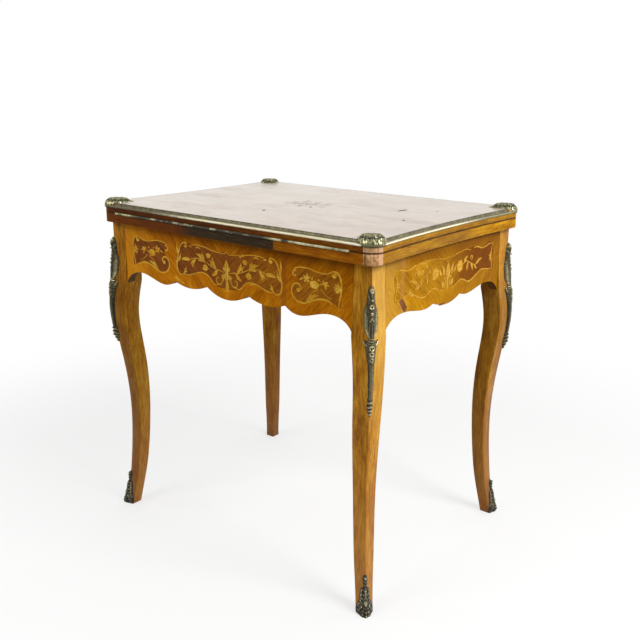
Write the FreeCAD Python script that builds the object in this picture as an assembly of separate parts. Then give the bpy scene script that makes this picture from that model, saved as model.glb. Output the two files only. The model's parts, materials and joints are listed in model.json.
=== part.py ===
import FreeCAD, Part
import os
from math import asin, cos, pi, sin, sqrt

V = FreeCAD.Vector
UP = V(0, 0, 1)

# Folding top, in millimetres
TOP_HEIGHT = 760.0
TOP_OVERHANG = 17.0
LEAF_THICKNESS = 21.5
FOLD_GAP = 1.0
CORNER_RADIUS = 26.0
END_HOLLOW = 10.0
BACK_HOLLOW = 6.0
BAIZE_BORDER = 62.0
BAIZE_THICKNESS = 1.2
BAIZE_CORNER = 6.0

# Brass edge moulding and corner caps of the upper leaf
MOULDING_WIDTH = 9.0
MOULDING_HEIGHT = 10.5
MOULDING_LIP = 2.0
MOULDING_FACETS = 5
BEAD_HEIGHT = 4.0
BEAD_REACH = 1.8
CAP_RADIUS = 27.0
CAP_INSET = 25.0
CAP_RISE = 9.0
CAP_SKIRT = 10.5
CAP_SEAT = 2.0
CAP_EYE = 15.0
CAP_EYE_DEPTH = 1.0
CAP_SHOULDER = 24.0
CAP_SHOULDER_DROP = 3.6
CAP_TAIL_REACH = 20.0
CAP_TAIL_RADIUS = 18.0
CAP_TAIL_RISE = 6.4
CAP_TAIL_RIM = 1.5

# Piano hinge along the front edge
HINGE_END = 55.0
KNUCKLE_COUNT = 22
KNUCKLE_GAP = 0.25
BARREL_RADIUS = 2.3
BARREL_CLEARANCE = 0.3
HINGE_PIN_RADIUS = 1.0
PIN_CLEARANCE = 0.05
FLAP_DEPTH = 18.0
FLAP_THICKNESS = 1.2
FLAP_SCREW_COUNT = 8
FLAP_SCREW_SETBACK = 12.0
FLAP_SCREW_LENGTH = 8.5
FLAP_SCREW_RADIUS = 1.3
FLAP_SCREW_HEAD = 2.8

# Frame: four legs tenoned to four aprons
FRAME_LENGTH = 736.0
FRAME_WIDTH = 536.0
RUN_GAP = 0.3
LEG_SIDE = 41.7
APRON_THICKNESS = 20.0
APRON_DEPTH = 127.7
TENON_THICKNESS = 8.0
TENON_LENGTH = 24.0
TENON_HEIGHT = 80.0
TENON_DROP = 14.0
TENON_FIT = 0.15
VENEER = 1.0

# Cabriole leg: drops below the frame's top or heights above the floor, how far the outer faces
# stand in or out from the frame's corner there, and the side of the square
SWELL_DROP = 50.7
KNEE_DROP = 215.7
KNEE_OUT = 8.4
KNEE_SIDE = 42.4
CALF_DROP = 315.7
CALF_IN = 1.6
CALF_SIDE = 39.0
ANKLE_HEIGHT = 265.0
ANKLE_IN = 12.2
ANKLE_SIDE = 32.6
SHIN_HEIGHT = 110.0
SHIN_IN = 7.2
SHIN_SIDE = 28.4
TOE_OUT = 4.9
FOOT_SIDE = 24.6
TOE_SPLAY = 0.15

# Bronze mounts of the legs
KNEE_MOUNT_DROP = 38.0
KNEE_MOUNT_LENGTH = 254.0
KNEE_MOUNT_WIDTH = 30.0
KNEE_RIDGE_WIDTH = 18.0
KNEE_MOUNT_PLATE = 3.2
KNEE_MOUNT_RELIEF = 6.5
KNEE_NAIL_DROP = 26.0
KNEE_NAIL_RISE = 18.0
SABOT_HEIGHT = 84.0
SABOT_WIDTH = 40.0
SABOT_PLATE = 3.0
TOE_HEIGHT = 24.0
TOE_WIDTH = 24.0
TOE_RELIEF = 7.0
SABOT_NAIL_HEIGHT = 52.0
NAIL_RADIUS = 0.9
NAIL_HEAD = 1.7
NAIL_LENGTH = 12.0

# Swivel and storage well
PIVOT_DISC_RADIUS = 50.0
PIVOT_DISC_THICKNESS = 15.0
PIVOT_RAIL_WIDTH = 112.0
PIVOT_RAIL_THICKNESS = 22.0
BOLT_RADIUS = 5.0
BOLT_CLEARANCE = 0.05
BOLT_HEAD_RADIUS = 11.0
BOLT_HEAD_HEIGHT = 4.0
BOLT_TAIL = 4.0
WASHER_RADIUS = 14.0
WASHER_THICKNESS = 2.0
WASHER_GAP = 0.2
NUT_RADIUS = 9.5
NUT_HEIGHT = 8.0
DISC_SCREW_COUNT = 4
DISC_SCREW_CIRCLE = 36.0
DISC_SCREW_RADIUS = 2.0
DISC_SCREW_HEAD = 4.2
DISC_SCREW_LENGTH = 26.0
STOP_PEG_RADIUS = 4.0
STOP_PEG_DROP = 10.0
STOP_PEG_SEAT = 10.0
STOP_CLEARANCE = 0.3
WELL_DEPTH = 95.0
WELL_FLOOR_THICKNESS = 8.0
PARTITION_THICKNESS = 12.0
PARTITION_DROP = 2.0
GROOVE = 6.0
BLOCK_SIDE = 62.0
BLOCK_HEIGHT = 70.0
BLOCK_DROP = 16.0

# Outlines in drawing millimetres: distance from the middle, drop below the top of the apron
FRONT_DRAWN = (326.3, 127.7)
FRONT_BRACKET = ((326.3, 141.0), (310, 119.5), (267, 109.9), (200, 124.9), (160, 111.7))
FRONT_LOBES = (((160, 111.7), (109, 120.9), (60, 108.7)),)
FRONT_MIDDLE = ((60, 108.7), (0, 127.7), (-60, 108.7))
SIDE_DRAWN = (226.3, 127.7)
SIDE_BRACKET = ((226.3, 141.0), (209, 122.5), (150, 112.2), (88, 121.2), (53, 115.2))
SIDE_MIDDLE = ((53, 115.2), (0, 127.2), (-53, 115.2))
CENTRE_PANEL = ((0, 27.0), (22, 30.5), (62, 25.5), (104, 21.5), (134, 25.5), (151, 46), (153, 68),
                (150, 86), (138, 94), (118, 91), (94, 86.5), (70, 79.5), (51, 85.5), (37, 97), (16, 104.5),
                (0, 103.0))
SMALL_PANEL = ((181, 36), (197, 27.5), (225, 28.5), (262, 32.5), (279, 26), (294, 28.5), (300, 46), (299, 74),
               (297, 94), (283, 87), (258, 84), (233, 92), (206, 97), (185, 88), (177, 70), (189, 59),
               (193, 50), (183, 45))
SIDE_PANEL = ((0, 27.0), (24, 30), (62, 24.5), (108, 22.5), (146, 27), (186, 24.5), (197, 44), (194, 62),
              (196, 84), (166, 81.5), (138, 78), (112, 86), (84, 93.5), (56, 85.5), (28, 91), (0, 94.0))
KNEE_DRAWN = (30.0, 254.0)
KNEE_BODY = ((0, 0), (6.5, 12), (10.5, 38), (14, 62), (11.5, 86), (5.5, 100))
KNEE_EAR = ((5.5, 100), (15, 108), (9.0, 122))
KNEE_STEM = ((9.0, 122), (6.0, 150), (4.0, 216))
KNEE_TIP = ((4.0, 216), (5.4, 232), (0, 254))
SABOT_DRAWN = (40.0, 84.0)
SABOT_KNOB = ((0, 0), (4.0, 5), (2.6, 10))
SABOT_LEAF = ((2.6, 10), (7.6, 26), (9.8, 46), (12.5, 62), (20, 70))
SABOT_FOOT = ((20, 70), (20, 84))

# Places that follow from the sizes above
LOWER_BOTTOM = TOP_HEIGHT - 2 * LEAF_THICKNESS - FOLD_GAP
LOWER_TOP = LOWER_BOTTOM + LEAF_THICKNESS
UPPER_BOTTOM = LOWER_TOP + FOLD_GAP
FOLD_HEIGHT = LOWER_TOP + FOLD_GAP / 2
FRAME_TOP = LOWER_BOTTOM - RUN_GAP
TOP_LENGTH = FRAME_LENGTH + 2 * TOP_OVERHANG
TOP_WIDTH = FRAME_WIDTH + 2 * TOP_OVERHANG
HINGE_LENGTH = TOP_LENGTH - 2 * HINGE_END
HALF_LENGTH = FRAME_LENGTH / 2
HALF_WIDTH = FRAME_WIDTH / 2
FRONT_SPAN = HALF_LENGTH - LEG_SIDE
SIDE_SPAN = HALF_WIDTH - LEG_SIDE
BRACKET_DROP = FRONT_BRACKET[0][1] * APRON_DEPTH / FRONT_DRAWN[1]
SWELL_HEIGHT = FRAME_TOP - SWELL_DROP
KNEE_HEIGHT = FRAME_TOP - KNEE_DROP
CALF_HEIGHT = FRAME_TOP - CALF_DROP
INNER_X = HALF_LENGTH - APRON_THICKNESS
INNER_Y = HALF_WIDTH - APRON_THICKNESS
HINGE_Y = -(TOP_WIDTH / 2 + BARREL_RADIUS + BARREL_CLEARANCE)
PIVOT = V(HINGE_Y / 2, HINGE_Y / 2, 0)
CAP_PLACES = {"front_left": (-1, -1), "front_right": (1, -1), "back_left": (-1, 1), "back_right": (1, 1)}


def write(name, shape):
    shape.exportStep("parts/" + name + ".step")


def box(x0, x1, y0, y1, z0, z1):
    return Part.makeBox(x1 - x0, y1 - y0, z1 - z0, V(x0, y0, z0))


def line(a, b):
    return Part.makeLine(a, b)


def arc(a, b, c):
    return Part.Arc(a, b, c).toShape()


def spline(points, start=None, end=None):
    curve = Part.BSplineCurve()
    if start is None:
        curve.interpolate(Points=points)
    else:
        curve.interpolate(Points=points, InitialTangent=start, FinalTangent=end)
    return curve.toShape()


def prism(edges, direction):
    return Part.Face(Part.Wire(edges)).extrude(direction)


def fitted(points, drawn, wide, tall):
    return [(u * wide / drawn[0], d * tall / drawn[1]) for u, d in points]


def mirrored(shape, signs):
    for sign, normal in zip(signs, (V(1, 0, 0), V(0, 1, 0))):
        if sign < 0:
            shape = shape.mirror(V(0, 0, 0), normal)
    return shape


def group(solids):
    return Part.makeCompound(solids)


# Top

def leaf_outline(z):
    """Edges of a leaf in plan: straight front for the hinge, hollowed ends and back, rounded corners."""
    x, y, r = TOP_LENGTH / 2, TOP_WIDTH / 2, CORNER_RADIUS
    k = r * (1 - sqrt(0.5))
    return [line(V(-x + r, -y, z), V(x - r, -y, z)),
            arc(V(x - r, -y, z), V(x - k, -y + k, z), V(x, -y + r, z)),
            arc(V(x, -y + r, z), V(x - END_HOLLOW, 0, z), V(x, y - r, z)),
            arc(V(x, y - r, z), V(x - k, y - k, z), V(x - r, y, z)),
            arc(V(x - r, y, z), V(0, y - BACK_HOLLOW, z), V(-x + r, y, z)),
            arc(V(-x + r, y, z), V(-x + k, y - k, z), V(-x, y - r, z)),
            arc(V(-x, y - r, z), V(-x + END_HOLLOW, 0, z), V(-x, -y + r, z)),
            arc(V(-x, -y + r, z), V(-x + k, -y + k, z), V(-x + r, -y, z))]


def leaf_blank(z):
    return prism(leaf_outline(z), UP * LEAF_THICKNESS)


def moulding_section(origin, out):
    """Face of the moulding: flat lip, hollow below it, and a bead that stands past the leaf's edge."""
    lip = MOULDING_WIDTH - MOULDING_LIP
    hollow = MOULDING_HEIGHT - BEAD_HEIGHT
    turn = [i * pi / (2 * MOULDING_FACETS) for i in range(MOULDING_FACETS + 1)]
    points = [(-MOULDING_WIDTH, 0)]
    points += [(-lip * cos(t), -hollow * sin(t)) for t in turn]
    points += [(BEAD_REACH * sin(2 * t), -hollow - BEAD_HEIGHT * sin(t) ** 2) for t in turn[1:]]
    points += [(-MOULDING_WIDTH, -MOULDING_HEIGHT), (-MOULDING_WIDTH, 0)]
    return Part.Face(Part.makePolygon([origin + out * n + UP * (TOP_HEIGHT + z) for n, z in points]))


def rebate_section(origin, out):
    """Face of the step in the leaf's edge that the moulding lies in, open to the outside."""
    def at(n, z):
        return origin + out * n + UP * (TOP_HEIGHT + z)
    reach = MOULDING_WIDTH
    return Part.Face(Part.makePolygon([at(-reach, 0), at(reach, 0), at(reach, -MOULDING_HEIGHT),
                                       at(-reach, -MOULDING_HEIGHT), at(-reach, 0)]))


def along_edge(section, side):
    """Carry a section along one edge of the leaf, from the middle of one corner cap to the next."""
    x, y = TOP_LENGTH / 2, TOP_WIDTH / 2
    if side == "front":
        face = section(V(-x + CAP_INSET, -y, 0), V(0, -1, 0))
        return face.extrude(V(2 * (x - CAP_INSET), 0, 0))
    if side == "back":
        chord, hollow, middle, out, reach = x - CORNER_RADIUS, BACK_HOLLOW, V(0, y, 0), V(0, 1, 0), x
    else:
        sign = 1 if side == "right" else -1
        chord, hollow, middle, out, reach = y - CORNER_RADIUS, END_HOLLOW, V(sign * x, 0, 0), V(sign, 0, 0), y
    radius = (chord ** 2 + hollow ** 2) / (2 * hollow)
    centre = middle + out * (radius - hollow)
    half = asin((reach - CAP_INSET) / radius) * 180 / pi
    face = section(middle - out * hollow, out)
    face.rotate(centre, UP, -half)
    return face.revolve(centre, UP, 2 * half)


def cap_centre(signs):
    return V(signs[0] * (TOP_LENGTH / 2 - CAP_INSET), signs[1] * (TOP_WIDTH / 2 - CAP_INSET), 0)


def cap_disc(signs, z0, z1):
    return Part.makeCylinder(CAP_RADIUS, z1 - z0, cap_centre(signs) + UP * z0)


def tail_centre(signs):
    """Middle of the lower lobe of a cap, inwards from the cap along the diagonal of the corner."""
    return cap_centre(signs) - V(signs[0], signs[1], 0) * (CAP_TAIL_REACH / sqrt(2))


def cap_seat(signs):
    disc = cap_disc(signs, TOP_HEIGHT - CAP_SEAT, TOP_HEIGHT + CAP_RISE)
    tail = Part.makeCylinder(CAP_TAIL_RADIUS, CAP_SEAT + CAP_RISE,
                             tail_centre(signs) + UP * (TOP_HEIGHT - CAP_SEAT))
    return disc.fuse(tail)


def cap_tail(signs):
    """Lower lobe of a cap, a shallow dome let into the top like the cap itself."""
    c = tail_centre(signs)
    low, rim, top = TOP_HEIGHT - CAP_SEAT, TOP_HEIGHT + CAP_TAIL_RIM, TOP_HEIGHT + CAP_TAIL_RISE
    rise = CAP_TAIL_RISE - CAP_TAIL_RIM
    sphere = (CAP_TAIL_RADIUS ** 2 + rise ** 2) / (2 * rise)
    half = CAP_TAIL_RADIUS / 2

    def at(r, z):
        return c + V(r, 0, z)
    edges = [line(at(0, low), at(CAP_TAIL_RADIUS, low)),
             line(at(CAP_TAIL_RADIUS, low), at(CAP_TAIL_RADIUS, rim)),
             arc(at(CAP_TAIL_RADIUS, rim), at(half, top - sphere + sqrt(sphere ** 2 - half ** 2)), at(0, top)),
             line(at(0, top), at(0, low))]
    return Part.Face(Part.Wire(edges)).revolve(c, UP, 360)


def cap_dome(signs):
    c = cap_centre(signs)
    low, rim, top = TOP_HEIGHT - CAP_SKIRT, TOP_HEIGHT - CAP_SEAT, TOP_HEIGHT + CAP_RISE

    def at(r, z):
        return c + V(r, 0, z)
    eye = top - CAP_EYE_DEPTH
    edges = [line(at(0, low), at(CAP_RADIUS, low)),
             line(at(CAP_RADIUS, low), at(CAP_RADIUS, rim)),
             arc(at(CAP_RADIUS, rim), at(CAP_SHOULDER, top - CAP_SHOULDER_DROP), at(CAP_EYE, top)),
             line(at(CAP_EYE, top), at(0, eye)),
             line(at(0, eye), at(0, low))]
    dome = Part.Face(Part.Wire(edges)).revolve(c, UP, 360)
    return dome.fuse(cap_tail(signs)).removeSplitter()


def baize(z):
    x, y, r = TOP_LENGTH / 2 - BAIZE_BORDER, TOP_WIDTH / 2 - BAIZE_BORDER, BAIZE_CORNER
    sheet = box(-x, x, -y, y, z, z + BAIZE_THICKNESS)
    upright = [e for e in sheet.Edges if abs(e.tangentAt(e.FirstParameter).z) > 0.9]
    return sheet.makeFillet(r, upright)


def wood_screw(point, direction, head, shank, length):
    """Countersunk screw whose flat head lies at the point and whose shank runs along the direction."""
    cone = Part.makeCone(head, shank, head - shank, point, direction)
    return cone.fuse(Part.makeCylinder(shank, length, point, direction)).removeSplitter()


def flap_screws(z, direction):
    pitch = HINGE_LENGTH / FLAP_SCREW_COUNT
    y = -TOP_WIDTH / 2 + FLAP_SCREW_SETBACK
    return [wood_screw(V((i + 0.5) * pitch - HINGE_LENGTH / 2, y, z), direction, FLAP_SCREW_HEAD,
                       FLAP_SCREW_RADIUS, FLAP_SCREW_LENGTH) for i in range(FLAP_SCREW_COUNT)]


def hinge_flap(z, first, screws):
    """Flap let into a leaf, with every other knuckle of the barrel from the first one on."""
    pitch = HINGE_LENGTH / KNUCKLE_COUNT
    front = -TOP_WIDTH / 2
    solids = [box(-HINGE_LENGTH / 2, HINGE_LENGTH / 2, front, front + FLAP_DEPTH, z, z + FLAP_THICKNESS)]
    for i in range(first, KNUCKLE_COUNT, 2):
        x0 = -HINGE_LENGTH / 2 + i * pitch + KNUCKLE_GAP / 2
        x1 = x0 + pitch - KNUCKLE_GAP
        solids.append(Part.makeCylinder(BARREL_RADIUS, x1 - x0, V(x0, HINGE_Y, FOLD_HEIGHT), V(1, 0, 0)))
        solids.append(box(x0, x1, HINGE_Y, front, z, z + FLAP_THICKNESS))
    flap = solids[0].multiFuse(solids[1:])
    bore = Part.makeCylinder(HINGE_PIN_RADIUS + PIN_CLEARANCE, HINGE_LENGTH,
                             V(-HINGE_LENGTH / 2, HINGE_Y, FOLD_HEIGHT), V(1, 0, 0))
    return flap.cut(bore).cut(group(screws)).removeSplitter()


def flap_seat(z):
    front = -TOP_WIDTH / 2
    return box(-HINGE_LENGTH / 2, HINGE_LENGTH / 2, front - FLAP_DEPTH, front + FLAP_DEPTH,
               z, z + FLAP_THICKNESS)


def build_upper_leaf():
    caps = {place: cap_dome(signs) for place, signs in CAP_PLACES.items()}
    discs = [cap_disc(signs, UPPER_BOTTOM, TOP_HEIGHT + CAP_RISE) for signs in CAP_PLACES.values()]
    seats = [cap_seat(signs) for signs in CAP_PLACES.values()]
    screws = flap_screws(UPPER_BOTTOM, UP)
    cloth = baize(UPPER_BOTTOM)
    leaf = leaf_blank(UPPER_BOTTOM)
    for side in ("front", "right", "back", "left"):
        leaf = leaf.cut(along_edge(rebate_section, side).cut(group(discs)))
        write("moulding_" + side, along_edge(moulding_section, side).cut(group(discs)))
    leaf = leaf.cut(group(seats)).cut(flap_seat(UPPER_BOTTOM)).cut(cloth).cut(group(screws))
    write("upper_leaf", leaf.removeSplitter())
    write("upper_baize", cloth)
    write("hinge_upper_flap", hinge_flap(UPPER_BOTTOM, 1, screws))
    write("hinge_upper_screws", group(screws))
    for place, cap in caps.items():
        write("corner_cap_" + place, cap.cut(leaf))


def build_lower_leaf():
    flap_z = LOWER_TOP - FLAP_THICKNESS
    cloth = baize(LOWER_TOP - BAIZE_THICKNESS)
    screws = flap_screws(LOWER_TOP, UP * -1)
    leaf = leaf_blank(LOWER_BOTTOM).cut(flap_seat(flap_z)).cut(cloth).cut(group(screws))
    disc_bottom = LOWER_BOTTOM - PIVOT_DISC_THICKNESS
    disc_screws = []
    for i in range(DISC_SCREW_COUNT):
        angle = 2 * pi * (i + 0.5) / DISC_SCREW_COUNT
        spot = PIVOT + V(cos(angle), sin(angle), 0) * DISC_SCREW_CIRCLE + UP * disc_bottom
        disc_screws.append(wood_screw(spot, UP, DISC_SCREW_HEAD, DISC_SCREW_RADIUS, DISC_SCREW_LENGTH))
    peg = Part.makeCylinder(STOP_PEG_RADIUS, STOP_PEG_DROP + STOP_PEG_SEAT,
                            stop_peg_place() + UP * (LOWER_BOTTOM - STOP_PEG_DROP))
    write("lower_leaf", leaf.cut(group(disc_screws)).cut(peg).removeSplitter())
    write("lower_baize", cloth)
    write("hinge_lower_flap", hinge_flap(flap_z, 0, screws))
    write("hinge_lower_screws", group(screws))
    write("hinge_pin", Part.makeCylinder(HINGE_PIN_RADIUS, HINGE_LENGTH,
                                         V(-HINGE_LENGTH / 2, HINGE_Y, FOLD_HEIGHT), V(1, 0, 0)))
    write("stop_peg", peg)
    build_pivot(disc_bottom, disc_screws)


# Swivel

def stop_peg_place():
    """The peg meets the front apron with the top closed, and the partition after a quarter turn."""
    return V(PIVOT.x, -INNER_Y + STOP_PEG_RADIUS + STOP_CLEARANCE, 0)


def rail_top():
    return LOWER_BOTTOM - PIVOT_DISC_THICKNESS - RUN_GAP


def build_pivot(disc_bottom, screws):
    under = rail_top() - PIVOT_RAIL_THICKNESS - WASHER_GAP
    nut_bottom = under - WASHER_THICKNESS - NUT_HEIGHT
    head = Part.makeCylinder(BOLT_HEAD_RADIUS, BOLT_HEAD_HEIGHT, PIVOT + UP * (LOWER_BOTTOM - BOLT_HEAD_HEIGHT))
    shank_bottom = nut_bottom - BOLT_TAIL
    shank = Part.makeCylinder(BOLT_RADIUS, LOWER_BOTTOM - shank_bottom, PIVOT + UP * shank_bottom)
    bolt = head.fuse(shank).removeSplitter()
    disc = Part.makeCylinder(PIVOT_DISC_RADIUS, PIVOT_DISC_THICKNESS, PIVOT + UP * disc_bottom)
    washer = Part.makeCylinder(WASHER_RADIUS, WASHER_THICKNESS, PIVOT + UP * (under - WASHER_THICKNESS))
    corners = [PIVOT + V(cos(i * pi / 3), sin(i * pi / 3), 0) * NUT_RADIUS + UP * nut_bottom for i in range(7)]
    nut = Part.Face(Part.makePolygon(corners)).extrude(UP * NUT_HEIGHT)
    write("pivot_disc", disc.cut(bolt).cut(group(screws)))
    write("pivot_screws", group(screws))
    write("pivot_bolt", bolt)
    write("pivot_washer", washer.cut(bolt))
    write("pivot_nut", nut.cut(bolt))


# Frame

def apron_edges(drawn, span, bracket, lobes, middle, at):
    """Edges of an apron, from its straight top to the scalloped lower edge, right to left."""
    def right(points):
        return [at(u, d) for u, d in fitted(points, drawn, span, APRON_DEPTH)]

    def left(points):
        return [at(-u, d) for u, d in reversed(fitted(points, drawn, span, APRON_DEPTH))]
    foot = fitted(bracket[:1], drawn, span, APRON_DEPTH)[0][1]
    edges = [line(at(-span, 0), at(span, 0)), line(at(span, 0), at(span, foot)), spline(right(bracket))]
    edges += [arc(*right(lobe)) for lobe in lobes]
    edges.append(arc(*right(middle)))
    edges += [arc(*left(lobe)) for lobe in reversed(lobes)]
    edges += [spline(left(bracket)), line(at(-span, foot), at(-span, 0))]
    return edges


def tenon(span, outer, grow):
    """Tenon at the right end of an apron that runs along X with its outer face at -Y."""
    middle = -outer + APRON_THICKNESS / 2
    half = TENON_THICKNESS / 2 + grow
    low = FRAME_TOP - TENON_DROP - TENON_HEIGHT
    return box(span, span + TENON_LENGTH + grow, middle - half, middle + half, low - grow,
               low + TENON_HEIGHT + grow)


def turned(shape, quarter):
    """Turn a shape made for the -Y side to another side of the frame, a quarter at a time."""
    copy = shape.copy()
    copy.rotate(V(0, 0, 0), UP, 90 * quarter)
    return copy


def panel(points, drawn, span, outer, both):
    """Veneer panel for the -Y side; the half outline of a symmetric one is mirrored at the middle."""
    half = fitted(points, drawn, span, APRON_DEPTH)
    whole = half + [(-u, d) for u, d in reversed(half[1:-1])] if both else half
    curve = Part.BSplineCurve()
    curve.interpolate(Points=[V(u, -outer, FRAME_TOP - d) for u, d in whole], PeriodicFlag=True)
    return prism([curve.toShape()], V(0, VENEER, 0))


def apron(drawn, span, outer, bracket, lobes, middle, panels):
    def at(u, d):
        return V(u, -outer, FRAME_TOP - d)
    board = prism(apron_edges(drawn, span, bracket, lobes, middle, at), V(0, APRON_THICKNESS, 0))
    right = tenon(span, outer, 0)
    board = board.multiFuse([right, mirrored(right, (-1, 1))])
    return board.cut(group(panels))


def leg_curves(grow, side_y):
    """Outer and inner edges of a leg in the plane of one of its faces, grown outwards by an amount."""
    edge = HALF_WIDTH if side_y else HALF_LENGTH

    def at(inset, z):
        return V(0, edge - inset, z) if side_y else V(edge - inset, 0, z)
    foot = FRAME_TOP - BRACKET_DROP
    stations = ((KNEE_HEIGHT, -KNEE_OUT, KNEE_SIDE), (CALF_HEIGHT, CALF_IN, CALF_SIDE),
                (ANKLE_HEIGHT, ANKLE_IN, ANKLE_SIDE), (SHIN_HEIGHT, SHIN_IN, SHIN_SIDE),
                (0, -TOE_OUT, FOOT_SIDE))
    out = at(-1, 0) - at(0, 0)
    start = UP * -1
    finish = UP * -1 + out * TOE_SPLAY
    outer = spline([at(-grow, SWELL_HEIGHT)] + [at(i - grow, z) for z, i, s in stations], start, finish)
    inner = spline([at(LEG_SIDE, foot)] + [at(i + s, z) for z, i, s in stations],
                   start + out * TOE_SPLAY, finish)
    return outer, inner, [at(-grow, SWELL_HEIGHT), at(-grow, FRAME_TOP), at(LEG_SIDE, FRAME_TOP),
                          at(LEG_SIDE, foot), at(FOOT_SIDE - TOE_OUT, 0), at(-TOE_OUT - grow, 0)]


def leg_blank(grow=0.0):
    """Square cabriole leg at the back right corner, sawn to the same curve from two sides."""
    cuts = []
    for side_y in (False, True):
        outer, inner, p = leg_curves(grow, side_y)
        edges = [outer, line(p[0], p[1]), line(p[1], p[2]), line(p[2], p[3]), inner, line(p[4], p[5])]
        wire = Part.Wire(Part.__sortEdges__(edges))
        reach = FRAME_LENGTH if side_y else FRAME_WIDTH
        direction = V(reach, 0, 0) if side_y else V(0, reach, 0)
        cuts.append(Part.Face(wire).extrude(direction))
    return cuts[0].common(cuts[1])


def arris_point(z, grow):
    """Point on the outer arris of the back right leg at a height, on its curve or straight top."""
    if z >= SWELL_HEIGHT:
        return V(HALF_LENGTH + grow, HALF_WIDTH + grow, z)
    curve = leg_curves(grow, False)[0].Curve
    low, high = curve.FirstParameter, curve.LastParameter
    for step in range(60):
        middle = (low + high) / 2
        if curve.value(middle).z > z:
            low = middle
        else:
            high = middle
    x = curve.value(low).x
    return V(x, x - HALF_LENGTH + HALF_WIDTH, z)


def shield(stretches, drawn, wide, tall, z_top):
    """Symmetric outline seen along the diagonal of the back right leg, as a long prism."""
    across, inward = V(-1, 1, 0) / sqrt(2), V(-1, -1, 0) / sqrt(2)
    base = V(HALF_LENGTH, HALF_WIDTH, z_top) - inward * LEG_SIDE
    edges = []
    for sign in (1, -1):
        for stretch in stretches:
            points = [base + across * (sign * u) - UP * d for u, d in fitted(stretch, drawn, wide, tall)]
            edges.append(spline(points) if len(points) > 2 else line(points[0], points[1]))
    if stretches[-1][-1][0] > 0:
        u, d = fitted(stretches[-1][-1:], drawn, wide, tall)[0]
        edges.append(line(base + across * u - UP * d, base - across * u - UP * d))
    wire = Part.Wire(Part.__sortEdges__(edges))
    return Part.Face(wire).extrude(inward * (3 * LEG_SIDE))


def relief(leg, plate, raised, wide_shield, narrow_shield):
    """Bronze mount wrapped over the arris: a plate of one outline with a raised middle of another."""
    low = leg_blank(plate).common(wide_shield)
    high = leg_blank(raised).common(narrow_shield)
    return low.fuse(high).cut(leg).removeSplitter()


def knee_mount(leg):
    stretches = (KNEE_BODY, KNEE_EAR, KNEE_STEM, KNEE_TIP)
    z_top = FRAME_TOP - KNEE_MOUNT_DROP
    wide = shield(stretches, KNEE_DRAWN, KNEE_MOUNT_WIDTH, KNEE_MOUNT_LENGTH, z_top)
    narrow = shield(stretches, KNEE_DRAWN, KNEE_RIDGE_WIDTH, KNEE_MOUNT_LENGTH, z_top)
    return relief(leg, KNEE_MOUNT_PLATE, KNEE_MOUNT_RELIEF, wide, narrow)


def sabot(leg):
    stretches = (SABOT_KNOB, SABOT_LEAF, SABOT_FOOT)
    wide = shield(stretches, SABOT_DRAWN, SABOT_WIDTH, SABOT_HEIGHT, SABOT_HEIGHT)
    toe = shield(stretches, SABOT_DRAWN, TOE_WIDTH, TOE_HEIGHT, TOE_HEIGHT)
    return relief(leg, SABOT_PLATE, TOE_RELIEF, wide, toe)


def nail(z, grow):
    """Round-headed nail through a mount into the arris of the leg."""
    inward = V(-1, -1, 0) / sqrt(2)
    face = arris_point(z, grow)
    shank = Part.makeCylinder(NAIL_RADIUS, NAIL_LENGTH, face, inward)
    head = Part.makeSphere(NAIL_HEAD, face)
    return shank.fuse(head)


def build_legs(mortises):
    leg = leg_blank().cut(group(mortises))
    knee = knee_mount(leg_blank())
    shoe = sabot(leg_blank())
    knee_top = FRAME_TOP - KNEE_MOUNT_DROP
    nails = [nail(knee_top - KNEE_NAIL_DROP, KNEE_MOUNT_RELIEF),
             nail(knee_top - KNEE_MOUNT_LENGTH + KNEE_NAIL_RISE, KNEE_MOUNT_RELIEF),
             nail(SABOT_NAIL_HEIGHT, SABOT_PLATE)]
    for place, signs in CAP_PLACES.items():
        write("leg_" + place, mirrored(leg.cut(group(nails)), signs))
        write("knee_mount_" + place, mirrored(knee.cut(group(nails)), signs))
        write("sabot_" + place, mirrored(shoe.cut(group(nails)), signs))
    write("mount_nails", group([mirrored(n, signs) for n in nails for signs in CAP_PLACES.values()]))


def well_parts():
    """Floor and partition of the storage well under the right half, and the rail that bears the pivot."""
    left = stop_peg_place().y * -1 + 2 * PIVOT.x + STOP_PEG_RADIUS + STOP_CLEARANCE
    floor_top = FRAME_TOP - WELL_DEPTH
    floor_low = floor_top - WELL_FLOOR_THICKNESS
    right = left + PARTITION_THICKNESS
    floor = box(right - GROOVE, INNER_X + GROOVE, -INNER_Y - GROOVE, INNER_Y + GROOVE, floor_low, floor_top)
    for y in (-1, 1):
        notch = box(FRONT_SPAN, HALF_LENGTH, -HALF_WIDTH, -SIDE_SPAN, floor_low, floor_top)
        floor = floor.cut(mirrored(notch, (1, -y)))
    partition = box(left, right, -INNER_Y - GROOVE, INNER_Y + GROOVE, floor_low, FRAME_TOP - PARTITION_DROP)
    low = rail_top() - PIVOT_RAIL_THICKNESS
    rail = box(PIVOT.x - PIVOT_RAIL_WIDTH / 2, PIVOT.x + PIVOT_RAIL_WIDTH / 2,
               -INNER_Y - GROOVE, INNER_Y + GROOVE, low, rail_top())
    bore = Part.makeCylinder(BOLT_RADIUS + BOLT_CLEARANCE, PIVOT_RAIL_THICKNESS, PIVOT + UP * low)
    return {"well_floor": floor, "well_partition": partition.cut(floor), "pivot_rail": rail.cut(bore)}


def corner_block(y):
    """Glue block in a left corner of the frame, cut to fit round the leg."""
    top = FRAME_TOP - BLOCK_DROP
    points = [(-INNER_X, -SIDE_SPAN), (-FRONT_SPAN, -SIDE_SPAN), (-FRONT_SPAN, -INNER_Y),
              (-INNER_X + BLOCK_SIDE, -INNER_Y), (-INNER_X, -INNER_Y + BLOCK_SIDE), (-INNER_X, -SIDE_SPAN)]
    face = Part.Face(Part.makePolygon([V(px, py, top) for px, py in points]))
    return mirrored(face.extrude(UP * -BLOCK_HEIGHT), (1, -y))


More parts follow.
